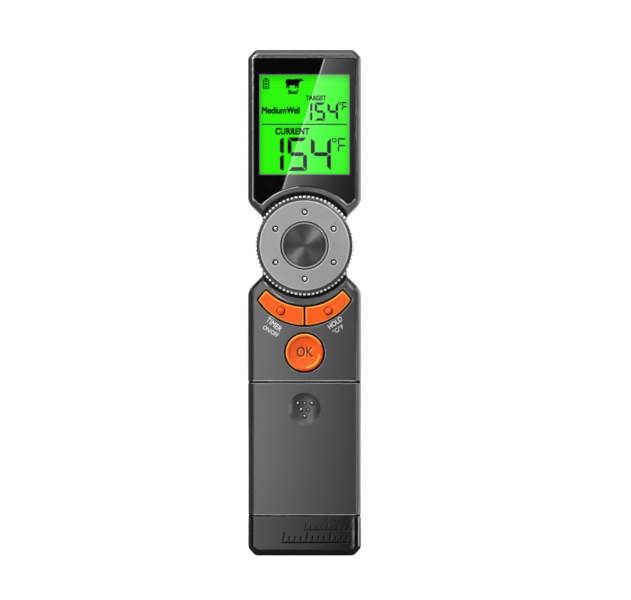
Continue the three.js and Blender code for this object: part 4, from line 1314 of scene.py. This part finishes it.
# painted shade in the pin seats
repaint(face, "painted_shade", in_seat)


def on_rim(x, y, z, n):
    return y <= -10.62 and n.y > -0.985 and any(math.hypot(x - 11.8 * math.cos(PI / 6 + i * PI / 3), z - DIAL_Z - 11.8 * math.sin(PI / 6 + i * PI / 3)) < 1.56 for i in range(6))


# painted highlight round each pin seat
repaint(face, "painted_highlight_bright", on_rim)
# painted highlight on the dial plate's inner and outer edges
repaint(face, "painted_highlight_plate", lambda x, y, z, n: n.y > -0.985 and y < -10.55 and (dial_r(x, z) < 9.05 or dial_r(x, z) > 15.4))
piece(merge("dial_pins", pins), "dial_pins", "pin", "dial", weighted=False)

trim_profile = [(7.56, -9.35), (7.56, -10.72), (7.6, -10.82), (7.68, -10.86), (7.96, -10.86), (8.04, -10.82), (8.08, -10.7), (8.08, -9.95), (8.42, -9.9), (8.46, -9.8), (8.46, -9.35)]
trim = ring_lathe("t", trim_profile, "Y", (0, DIAL_Z), 160)
piece(trim, "dial_trim", "trim", "dial", "dial_trim_ring")
# painted shade on the trim behind its front
repaint(trim, "painted_shade", lambda x, y, z, n: y > -10.6)
cap_profile = [(0, -9.4), (7.22, -9.4), (7.22, -10.4), (7.18, -10.52), (7.08, -10.58), (6.95, -10.6), (3.5, -10.6), (0.9, -10.6), (0.45, -10.6), (0.4, -10.57), (0.0, -10.57)]
centre = lathe("c", cap_profile, "Y", (0, DIAL_Z), 160)
piece(centre, "dial_centre", "cap", "dial", "dial_cap")
# painted shade on the cap behind its front
repaint(centre, "painted_shade", lambda x, y, z, n: y > -10.42)

# ---------------------------------------------------------------------------
# Keys
# ---------------------------------------------------------------------------
hold_ring = key_ring_factory(1)
KEY_IN = 0.09


def key_top(ring, r, n=7, y_base=-6.9):
    """Key skin whose front edge is rounded by r; its outline is drawn in a little from the key's own."""
    rings = [at_y(ring(KEY_IN), y_base)]
    for k in range(n + 1):
        a = PI / 2 * k / n
        rings.append(at_y(ring(KEY_IN + r * (1 - math.cos(a))), KEY_FRONT + r * (1 - math.sin(a))))
    return loft("k", rings)


for name, f, node, body, sx in (
    ("hold_cap", hold_ring, "hold_button", "hold_key", 1),
    ("timer_cap", mirror_ring(hold_ring), "timer_button", "timer_key", -1),
):
    k = key_top(f, 0.42)
    c = (sx * DOT_X, DOT_Z)
    cut(k, ring_lathe("g", [(1.28, KEY_FRONT + 0.3), (1.5, KEY_FRONT + 0.28), (1.64, KEY_FRONT - 0.1), (1.28, KEY_FRONT - 0.1)], "Y", c, 64))
    dome = [(0, KEY_FRONT + 0.3), (1.28, KEY_FRONT + 0.3), (1.28, KEY_FRONT + 0.1)]
    for q in range(0, 11):
        a = PI / 2 * q / 10
        dome.append((1.27 * math.cos(a), KEY_FRONT + 0.06 - 0.56 * math.sin(a)))
    cut(k, lathe("d", dome, "Y", c, 64), "UNION")
    cut(k, lathe("s", [(0, -7.4), (1.4, -7.4), (1.4, -3.4), (0, -3.4)], "Y", c, 32), "UNION")
    piece(k, name, "orange", body, node)
    # painted shade on the key's sunk sides
    repaint(k, "painted_shade", lambda x, y, z, n: y > KEY_FRONT + 0.75)
    # painted highlight on the key's front edge
    repaint(k, "orange_painted_highlight", lambda x, y, z, n: y < KEY_FRONT + 0.3 and n.y > -0.97 and math.hypot(abs(x) - DOT_X, z - DOT_Z) > 2.0)
    # painted shade in the groove round the dot
    repaint(k, "orange_painted_shade", lambda x, y, z, n: 1.2 < math.hypot(x - c[0], z - c[1]) < 1.66 and KEY_FRONT - 0.06 < y < KEY_FRONT + 0.4)
    repaint(k, "dot_shade", lambda x, y, z, n: 1.12 < math.hypot(x - c[0], z - c[1]) < 1.66 and KEY_FRONT - 0.3 < y < KEY_FRONT + 0.4 and (x - c[0]) - (z - c[1]) > 0.5)

OK_V = OK_R - 0.09
prof = [(0, -6.4), (OK_R + 1.2, -6.4), (OK_R + 1.2, -7.1), (OK_V, -7.1), (OK_V, KEY_FRONT + 0.45)]
for k in range(1, 8):
    a = PI / 2 * k / 7
    prof.append((OK_V - 0.45 * (1 - math.cos(a)), KEY_FRONT + 0.45 - 0.45 * math.sin(a)))
prof += [(5.62, KEY_FRONT - 0.0), (5.5, KEY_FRONT + 0.02), (5.38, KEY_FRONT + 0.08), (5.12, KEY_FRONT + 0.26), (5.02, KEY_FRONT + 0.31)]
for k in range(1, 15):
    t = k / 14
    prof.append((5.02 * (1 - t), KEY_FRONT + 0.31 + 0.75 * (1 - (1 - t) ** 2.4)))
ok = lathe("ok", prof, "Y", (0, OK_Z), 160)
cut(ok, lathe("s", [(0, -7.4), (1.4, -7.4), (1.4, -3.4), (0, -3.4)], "Y", (0, OK_Z), 32), "UNION")
# the first cut, offset down and to the right, leaves a step for the painted highlight
for dx, depth in ((0.17, 1.12), (0.0, 1.3)):
    sign = words("OK", 0.05 + dx, OK_Z - 0.05 - dx, 5.0, KEY_FRONT + depth / 2, depth / 2, bold=0.0, space=1.04, squeeze=0.8, fat=0.09)
    cut(ok, weld(sign, 0.0005))
soften(ok)
tidy(ok)
piece(ok, "ok_cap", "orange", "ok_key", "ok_button")
# painted shade on the OK key's sunk sides outside its rim
repaint(ok, "painted_shade", lambda x, y, z, n: y > KEY_FRONT + 0.75 and math.hypot(x, z - OK_Z) > 6.2)
# painted highlight on the OK key's outer edge
repaint(ok, "orange_painted_highlight", lambda x, y, z, n: y < KEY_FRONT + 0.34 and n.y > -0.97 and math.hypot(x, z - OK_Z) > 6.1)
# painted shade on the lower right of the OK key's outer edge
repaint(ok, "orange_painted_shade_rim", lambda x, y, z, n: y < KEY_FRONT + 0.34 and n.y > -0.97 and math.hypot(x, z - OK_Z) > 6.1 and x - (z - OK_Z) > 3.0)
# painted highlight on the lower right of the dish's rim wall
repaint(ok, "orange_painted_highlight", lambda x, y, z, n: 5.1 < math.hypot(x, z - OK_Z) < 5.5 and KEY_FRONT + 0.04 < y < KEY_FRONT + 0.3 and abs(x + (z - OK_Z)) < 4.6 and x - (z - OK_Z) > 3.0)
# painted shade on the upper left of the dish's rim wall
repaint(ok, "orange_painted_shade", lambda x, y, z, n: 5.1 < math.hypot(x, z - OK_Z) < 5.5 and KEY_FRONT + 0.04 < y < KEY_FRONT + 0.3 and x - (z - OK_Z) < -3.0)
# painted shade on the letters' walls and floors
repaint(ok, "sign_painted_shade", lambda x, y, z, n: abs(x) < 3.6 and abs(z - OK_Z) < 2.4 and KEY_FRONT + 0.45 < y < KEY_FRONT + 2 and (n.y > -0.6 or y > KEY_FRONT + 1.25))
# painted highlight on the step beside the letters
repaint(ok, "sign_painted_highlight", lambda x, y, z, n: abs(x) < 3.9 and abs(z - OK_Z) < 2.6 and abs(y - KEY_FRONT - 1.12) < 0.004 and n.y < -0.9)

# ---------------------------------------------------------------------------
# Printed signs on the grip, and the raised sign on the end cap
# ---------------------------------------------------------------------------
PRINT_Y = Y_FRONT - 0.012
signs = [
    words("TIMER", px(273.9), pz(324.6), 2.65, PRINT_Y, 0.012, rot=math.radians(37), squeeze=0.88),
    words("ON/OFF", px(270.6), pz(331.4), 2.1, PRINT_Y, 0.012, rot=math.radians(32), squeeze=0.8),
    words("HOLD", px(335.2), pz(323.0), 2.5, PRINT_Y, 0.012, rot=math.radians(-36), squeeze=0.84),
    words("°C/°F", px(338.2), pz(329.6), 2.1, PRINT_Y, 0.012, rot=math.radians(-34), squeeze=0.9),
]
piece(merge("print_signs", signs), "print_signs", "print", "housing", soft=False)

scale_marks, scale_painted_highlight = [], []


def plain_bar(x0, x1, z0, z1, lean=0.2):
    """A leaning raised bar with a lighter painted highlight copy behind it, offset down and to the right."""
    for out, dx, dz, y in ((scale_marks, 0.0, 0.0, Y_FRONT - 0.2), (scale_painted_highlight, 0.16, -0.12, Y_FRONT - 0.1)):
        pts = [(x0 + z0 * lean, z0), (x1 + z0 * lean, z0), (x1 + z1 * lean, z1), (x0 + z1 * lean, z1)]
        out.append(flat([(a + dx, b + dz) for a, b in pts], y, Y_FRONT + 0.1))


# a plain graduated double scale, leaning a little
for i in range(12):
    plain_bar(-9.1 + i * 2.05, -8.5 + i * 2.05, 5.5, 8.5 if i % 4 == 0 else 7.2)
plain_bar(-9.1, 14.05, 4.6, 5.2)
for i in range(9):
    plain_bar(-2.0 + i * 1.9, -1.56 + i * 1.9, 9.75, 11.7 if i % 4 == 0 else 10.8)
plain_bar(-2.0, 13.64, 9.15, 9.55)
MAT["scale"] = grain_plastic("scale_black", "#020202", 0.6, 900.0, 0.05, 0.01, 0.05, spec=0.1)
# painted highlight: the lighter copy behind each bar
MAT["scale_painted_highlight"] = grain_plastic("scale_painted_highlight_copy", "#59595b", 0.4, 900.0, 0.05, 0.01, 0.05, spec=0.3)
SLOT["scale"] = SLOT["scale_painted_highlight"] = "endcap"
piece(merge("cap_scale_painted_highlight", scale_painted_highlight), "cap_scale_painted_highlight", "scale_painted_highlight", "housing", soft=False)
piece(merge("cap_scale", scale_marks), "cap_scale", "scale", "housing", soft=False)

# ---------------------------------------------------------------------------
# Fixings, magnets, hinge and probe
# ---------------------------------------------------------------------------
def screw(name, x, z, y_top):
    prof = [(0, y_top - 5), (0.9, y_top - 5), (0.9, y_top - 1.3), (1.9, y_top - 1.3), (1.9, y_top - 0.3)]
    for k in range(1, 5):
        a = PI / 2 * k / 4
        prof.append((1.9 - 0.3 * (1 - math.cos(a)), y_top - 0.3 + 0.3 * math.sin(a)))
    prof.append((0, y_top))
    o = lathe(name, prof, "Y", (x, z), 48)
    for a, b in ((1.15, 0.22), (0.22, 1.15)):
        rings_ = []
        for f, y in ((0.55, y_top - 0.75), (1.0, y_top - 0.05), (1.04, y_top + 0.4)):
            rings_.append([(x + sx * a * f, y, z + sz * b * (0.7 + 0.3 * f)) for sx, sz in ((-1, -1), (1, -1), (1, 1), (-1, 1))])
        cut(o, loft("x", rings_))
    return o


for n, x, z in SCREWS:
    piece(screw(n, x, z, 10.7), n + "_v", "steel", "housing", n)
for n, x, z in END_SCREWS:
    piece(screw(n, x, z, 10.9), n + "_v", "steel", "housing", n)
for n, x, z in MAGNETS:
    prof = [(0, 8.6), (5.0, 8.6), (5.0, 10.6)] + [(5.0 - 0.25 * math.sin(PI / 2 * k / 4), 10.6 + 0.25 * (1 - math.cos(PI / 2 * k / 4))) for k in range(1, 5)] + [(0, 10.85)]
    piece(lathe("m", prof, "Y", (x, z), 96), n + "_v", "magnet", "housing", n)

# hub, turned with rounded rims, with a neck that the rod leaves by
hub_prof = [(0, -6.4), (5.2, -6.4)]
for k in range(1, 6):
    a = PI / 2 * k / 5
    hub_prof.append((5.2 + 0.4 * math.sin(a), -6.4 + 0.4 * (1 - math.cos(a))))
hub_prof += [(x, -y) for x, y in reversed(hub_prof)]
hub_prof = [(r, t) for r, t in hub_prof]
hub = lathe("hub", hub_prof, "X", (HINGE_Y, HINGE_Z), 128)
neck = [(0, HINGE_Z - 15), (1.9, HINGE_Z - 15), (2.1, HINGE_Z - 14.9), (2.2, HINGE_Z - 14.7), (2.2, HINGE_Z - 9), (2.25, HINGE_Z - 7.5), (2.2, HINGE_Z - 1), (0, HINGE_Z - 1)]
cut(hub, lathe("n", neck, "Z", (0, HINGE_Y + 2.8), 64), "UNION")
cut(hub, loft("n", [[(-2.2, HINGE_Y + 0.6, z), (2.2, HINGE_Y + 0.6, z), (2.2, HINGE_Y + 4.2, z), (-2.2, HINGE_Y + 4.2, z)] for z in (HINGE_Z - 8.5, HINGE_Z - 1)]), "UNION")
# grip ribs round the hub, cut as shallow grooves
for i in range(5):
    x = -4.0 + 2.0 * i
    g = ring_lathe("g", [(5.36, x - 0.22), (5.9, x - 0.4), (5.9, x + 0.4), (5.36, x + 0.22)], "X", (HINGE_Y, HINGE_Z), 128)
    cut(g, box("b", -10, 10, HINGE_Y - 9, HINGE_Y + 9, HINGE_Z - 9, HINGE_Z - 3.6))
    cut(hub, g)
cut(hub, lathe("b", [(0, -10), (1.4, -10), (1.4, 10), (0, 10)], "X", (HINGE_Y, HINGE_Z), 48))
cut(hub, lathe("b", [(0, HINGE_Z - 16), (1.85, HINGE_Z - 16), (1.85, HINGE_Z - 7), (0, HINGE_Z - 7)], "Z", (0, HINGE_Y + 2.8), 48))
soften(hub)
tidy(hub)
piece(hub, "probe_hub_v", "black", "probe", "probe_hub")

tip = 57.0
tube_prof = [(0, tip), (0.12, tip + 0.1), (0.3, tip + 0.55), (0.62, tip + 1.7), (0.82, tip + 2.9), (0.85, tip + 3.4), (0.85, tip + 14.6)]
for k in range(1, 11):
    t = k / 10
    tube_prof.append((0.85 + 0.95 * (3 * t * t - 2 * t**3), tip + 14.6 + 5.6 * t))
tube_prof += [(1.8, tip + 40), (1.8, tip + 80), (1.8, HINGE_Z - 7.3), (0, HINGE_Z - 7.3)]
piece(lathe("t", tube_prof, "Z", (0, HINGE_Y + 2.8), 64), "probe_tube_v", "probe", "probe", "probe_tube")
c0, c1 = HINGE_Z - 19.2, HINGE_Z - 15.2
collar = [(1.95, c0), (2.1, c0), (2.25, c0 + 0.1), (2.3, c0 + 0.25), (2.3, c0 + 1.2), (2.18, c0 + 1.35), (2.18, c0 + 1.65), (2.3, c0 + 1.8), (2.3, c1 - 0.25), (2.25, c1 - 0.1), (2.1, c1), (1.95, c1)]
piece(ring_lathe("c", collar, "Z", (0, HINGE_Y + 2.8), 64), "probe_collar_v", "steel", "probe", "probe_collar")

# ---------------------------------------------------------------------------
# Cells and their springs
# ---------------------------------------------------------------------------
CELL_X, CELL_Y, CELL_R, C0, C1 = 5.7, -2.2, 5.2, 15.6, 59.3


def cell(name, x, up):
    a, b = (C0, C1) if up else (C1, C0)
    s = 1 if up else -1
    prof = [(0, a), (3.9, a), (4.1, a + s * 0.12), (4.35, a + s * 0.02), (4.9, a + s * 0.02), (5.12, a + s * 0.12), (5.2, a + s * 0.5)]
    prof += [(5.2, b - s * 0.5), (5.12, b - s * 0.12), (4.9, b), (4.3, b), (4.1, b - s * 0.25), (1.95, b - s * 0.2), (1.9, b + s * 0.6), (1.7, b + s * 0.8), (0, b + s * 0.8)]
    return lathe(name, prof, "Z", (x, CELL_Y), 72)


c = cell("l", -CELL_X, True)
piece(c, "battery_left_v", "cell", "housing", "battery_left")
c = cell("r", CELL_X, False)
piece(c, "battery_right_v", "cell_down", "housing", "battery_right")


def coil(name, x, z0, z1, r0=3.6, r1=1.9, turns=2.2, wire=0.22):
    rings_ = []
    n = 90
    for i in range(n + 1):
        t = i / n
        a = t * turns * 2 * PI
        r = r0 + (r1 - r0) * t
        c_ = Vector((x + r * math.cos(a), CELL_Y + r * math.sin(a), z0 + (z1 - z0) * t))
        tan = Vector((-math.sin(a) * r * turns * 2 * PI, math.cos(a) * r * turns * 2 * PI, z1 - z0)).normalized()
        up = Vector((0, 0, 1))
        u = tan.cross(up).normalized()
        v = u.cross(tan).normalized()
        rings_.append([tuple(c_ + wire * (math.cos(2 * PI * k / 10) * u + math.sin(2 * PI * k / 10) * v)) for k in range(10)])
    return loft(name, rings_)


piece(coil("s", -CELL_X, 14.75, 15.25), "contact_spring_lower_v", "steel", "housing", "contact_spring_lower")
piece(coil("s", CELL_X, 60.2, 59.65), "contact_spring_upper_v", "steel", "housing", "contact_spring_upper")

# ---------------------------------------------------------------------------
# Finish of the CAD nodes that stay
# ---------------------------------------------------------------------------
STAY = {
    "rubber": ["body_seal_right", "body_seal_left", "keypad_mat", "probe_wire"],
    "white": ["lcd_backlight", "lcd_frame", "dial_washer", "hinge_washer_left", "hinge_washer_right"],
    "copper": ["lcd_flex_cable"],
    "board": ["main_board"],
    "black": ["microcontroller", "buzzer", "hinge_sensor", "ok_switch_plunger", "timer_switch_plunger", "hold_switch_plunger", "encoder_body", "battery_tray", "battery_lead_black"],
    "steel": ["ok_switch", "timer_switch", "hold_switch", "encoder_shaft", "contact_bridge", "contact_plate_positive", "contact_plate_negative", "hinge_pin"],
    "red": ["battery_lead_red"],
    "magnet": ["hub_magnet"],
}
for key, names in STAY.items():
    for n in names:
        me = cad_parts[n].data
        if me.materials:
            for i in range(len(me.materials)):
                me.materials[i] = MAT[key]
        else:
            me.materials.append(MAT[key])

# ---------------------------------------------------------------------------
# Studio: pale floor, soft lights, and cards that only reflections see
# ---------------------------------------------------------------------------
floor = mesh_obj("floor", [(-6000, -6000, -0.05), (6000, -6000, -0.05), (6000, 6000, -0.05), (-6000, 6000, -0.05)], [(0, 1, 2, 3)])
fm = Mat("floor_white", rough=0.8, spec=0.0)
lp = fm.nt.nodes.new("ShaderNodeLightPath")
tone = fm.map(lp.outputs["Is Camera Ray"], 0.0, 1.0, 0.16, 0.9)
grey = fm.nt.nodes.new("ShaderNodeCombineColor")
for k in ("Red", "Green", "Blue"):
    fm.link(tone, grey.inputs[k])
fm.link(grey.outputs["Color"], fm.b.inputs["Base Color"])
fm.b.inputs["Emission Color"].default_value = (1, 1, 1, 1)
fm.link(fm.map(lp.outputs["Is Camera Ray"], 0.0, 1.0, 0.0, 0.92), fm.b.inputs["Emission Strength"])
floor.data.materials.append(fm.m)

world = bpy.data.worlds.new("studio")
scene.world = world
world.use_nodes = True
wt = world.node_tree
bg = wt.nodes["Background"]
lp = wt.nodes.new("ShaderNodeLightPath")


def pick(sock, off, on):
    mr = wt.nodes.new("ShaderNodeMapRange")
    mr.inputs["To Min"].default_value = off
    mr.inputs["To Max"].default_value = on
    wt.links.new(sock, mr.inputs["Value"])
    return mr.outputs["Result"]


dim = pick(lp.outputs["Is Glossy Ray"], WORLD_DIFFUSE, WORLD_GLOSSY)
mr = wt.nodes.new("ShaderNodeMapRange")
mr.inputs["To Max"].default_value = 1.1
wt.links.new(dim, mr.inputs["To Min"])
wt.links.new(lp.outputs["Is Camera Ray"], mr.inputs["Value"])
wt.links.new(mr.outputs["Result"], bg.inputs["Strength"])
bg.inputs["Color"].default_value = (1, 1, 1, 1)


def aim(o, target):
    d = Vector(target) * S - o.location
    o.rotation_euler = d.to_track_quat("-Z", "Y").to_euler()


def area(name, loc, target, sx, sy, power, glossy=False):
    l = bpy.data.lights.new(name, "AREA")
    l.shape = "RECTANGLE"
    l.size, l.size_y = sx * S, sy * S
    l.energy = power
    o = bpy.data.objects.new(name, l)
    o.location = Vector(loc) * S
    o.visible_camera = False
    o.visible_glossy = glossy
    link(o)
    aim(o, target)
    return o


def stage_mesh(name, corners, build):
    """A flat card that only reflections see. build(nt) returns the socket of its strength."""
    o = mesh_obj(name, corners, [tuple(range(len(corners)))])
    m = bpy.data.materials.new(name)
    m.use_nodes = True
    nt = m.node_tree
    nt.nodes.clear()
    e = nt.nodes.new("ShaderNodeEmission")
    out = nt.nodes.new("ShaderNodeOutputMaterial")
    v = build(nt)
    if isinstance(v, (int, float)):
        e.inputs["Strength"].default_value = v
    else:
        nt.links.new(v, e.inputs["Strength"])
    nt.links.new(e.outputs[0], out.inputs[0])
    o.data.materials.append(m)
    o.visible_camera = False
    o.visible_diffuse = False
    o.visible_shadow = False
    o.visible_transmission = False
    return o


def along(nt, axis, stops):
    """Piecewise linear value along an object axis, stops in (mm, value)."""
    tc = nt.nodes.new("ShaderNodeTexCoord")
    sep = nt.nodes.new("ShaderNodeSeparateXYZ")
    nt.links.new(tc.outputs["Object"], sep.inputs[0])
    top = max(v for _, v in stops)
    lo, hi = stops[0][0], stops[-1][0]
    mr = nt.nodes.new("ShaderNodeMapRange")
    mr.inputs["From Min"].default_value = lo * S
    mr.inputs["From Max"].default_value = hi * S
    nt.links.new(sep.outputs[axis], mr.inputs["Value"])
    r = nt.nodes.new("ShaderNodeValToRGB")
    set_stops(r.color_ramp.elements, [((p - lo) / (hi - lo), (v / top, v / top, v / top, 1)) for p, v in stops])
    nt.links.new(mr.outputs["Result"], r.inputs["Fac"])
    return maths(nt, "MULTIPLY", r.outputs["Color"], top)


def maths(nt, op, a, b=None, c=None):
    n = nt.nodes.new("ShaderNodeMath")
    n.operation = op
    for k, v in enumerate((a, b, c)):
        if v is None:
            continue
        if isinstance(v, (int, float)):
            n.inputs[k].default_value = v
        else:
            nt.links.new(v, n.inputs[k])
    return n.outputs[0]


CARD_Y = -100.0
K = (CARD_Y - Y_FRONT) / (-843.3 - Y_FRONT)


def on_card(x, z):
    """Where the camera's view of a point of the front is mirrored to on the near card."""
    return x + (x - 3.86) * K, z + (z - 90.31) * K


def rect(x0, x1, y, z0, z1):
    return [(x0, y, z0), (x1, y, z0), (x1, y, z1), (x0, y, z1)]


# body and end cap: bright at the left, falling to the right
stage_mesh("card_body", rect(-60, 60, CARD_Y, 1.0, 123.0), lambda nt: along(nt, "X", BODY_CARD))
stage_mesh("card_low", rect(-40, 40, -30.0, 0.0, 12.3), lambda nt: along(nt, "X", LOW_CARD))
stage_mesh("card_rim_low", [(44, -20, 0.0), (44, -7, 0.0), (44, -7, 14.0), (44, -20, 14.0)], lambda nt: 8.0)


# display lens: a slanting edge with a thin bright line, fading to the right and downwards
def glare(nt):
    tc = nt.nodes.new("ShaderNodeTexCoord")
    sep = nt.nodes.new("ShaderNodeSeparateXYZ")
    nt.links.new(tc.outputs["Object"], sep.inputs[0])
    gx, gz = on_card(-6.0, 131.9)
    ex = maths(nt, "MULTIPLY", maths(nt, "SUBTRACT", sep.outputs["X"], gx * S), -GLARE_X * 1000 / (1 + K))
    ez = maths(nt, "MULTIPLY", maths(nt, "SUBTRACT", sep.outputs["Z"], gz * S), GLARE_Z * 1000 / (1 + K))
    return maths(nt, "MULTIPLY", maths(nt, "EXPONENT", maths(nt, "ADD", ex, ez)), GLARE)


p1, p2 = on_card(7.07, 175.25), on_card(-7.55, 129.36)
ux, uz = (p1[0] - p2[0]) / (p1[1] - p2[1]), 1.0


def edge_x(z, off=0.0):
    return p2[0] + (z - p2[1]) * ux + off


za, zb = 123.0, 190.0
stage_mesh("card_glare", [(edge_x(za), CARD_Y, za), (26, CARD_Y, za), (26, CARD_Y, zb), (edge_x(zb), CARD_Y, zb)], glare)
stage_mesh(
    "card_line",
    [(edge_x(za, -0.25), CARD_Y + 0.5, za), (edge_x(za, 0.25), CARD_Y + 0.5, za), (edge_x(zb, 0.25), CARD_Y + 0.5, zb), (edge_x(zb, -0.25), CARD_Y + 0.5, zb)],
    lambda nt: LINE,
)
stage_mesh("card_head", rect(-82, -46, CARD_Y, 124.0, 205.0), lambda nt: along(nt, "X", [(-82, 0), (-68, HEAD_CARD), (-46, HEAD_CARD)]))
stage_mesh("card_brow", rect(-60, 50, CARD_Y, 196.0, 290.0), lambda nt: BROW_CARD)
# rim from the right, for the rounded right edge
stage_mesh("card_rim", [(170, -90, -60), (170, 130, -60), (170, 130, 260), (170, -90, 260)], lambda nt: along(nt, "Y", RIM_CARD))
# above, for the top edge and the spun cap
stage_mesh("card_top", [(-90, -260, 330), (140, -260, 330), (140, 60, 330), (-90, 60, 330)], lambda nt: TOP_CARD)
# beyond the right of the head, for the turned rings of the cap
stage_mesh("card_spun", rect(32, 56, CARD_Y, 150.0, 174.0), lambda nt: along(nt, "X", [(32, 0), (38, SPUN_CARD), (49, SPUN_CARD), (56, 0)]))
stage_mesh("card_spun_high", rect(-122, -82, CARD_Y + 0.5, 226.0, 276.0), lambda nt: SPUN_HIGH)
stage_mesh("card_spun_low", rect(72, 98, CARD_Y + 0.5, 1.0, 78.0), lambda nt: SIDE_CARD)

# behind: a wide low card and a wall for the back's reflections, and two lamps
stage_mesh("card_back_floor", [(-700, 80, 1.0), (700, 80, 1.0), (700, 900, 1.0), (-700, 900, 1.0)], lambda nt: BACK_CARD)
stage_mesh("card_back_wall", [(-900, 900, 1.0), (900, 900, 1.0), (900, 900, 900.0), (-900, 900, 900.0)], lambda nt: BACK_CARD)

area("back_left", (-420, 620, 420), (0, 10, 90), 300, 300, BACK_POWER)
area("back_right", (520, 560, 260), (0, 10, 90), 300, 300, BACK_POWER)
area("key", (-360, -430, 420), (0, 0, 95), 200, 200, KEY_POWER)
area("fill", (330, -600, 240), (0, 0, 90), 400, 400, FILL_POWER)
area("top", (0, 60, 900), (0, 0, 0), 700, 700, TOP_POWER)
area("rim", (300, 160, 110), (15, 0, 95), 120, 320, RIM_POWER)
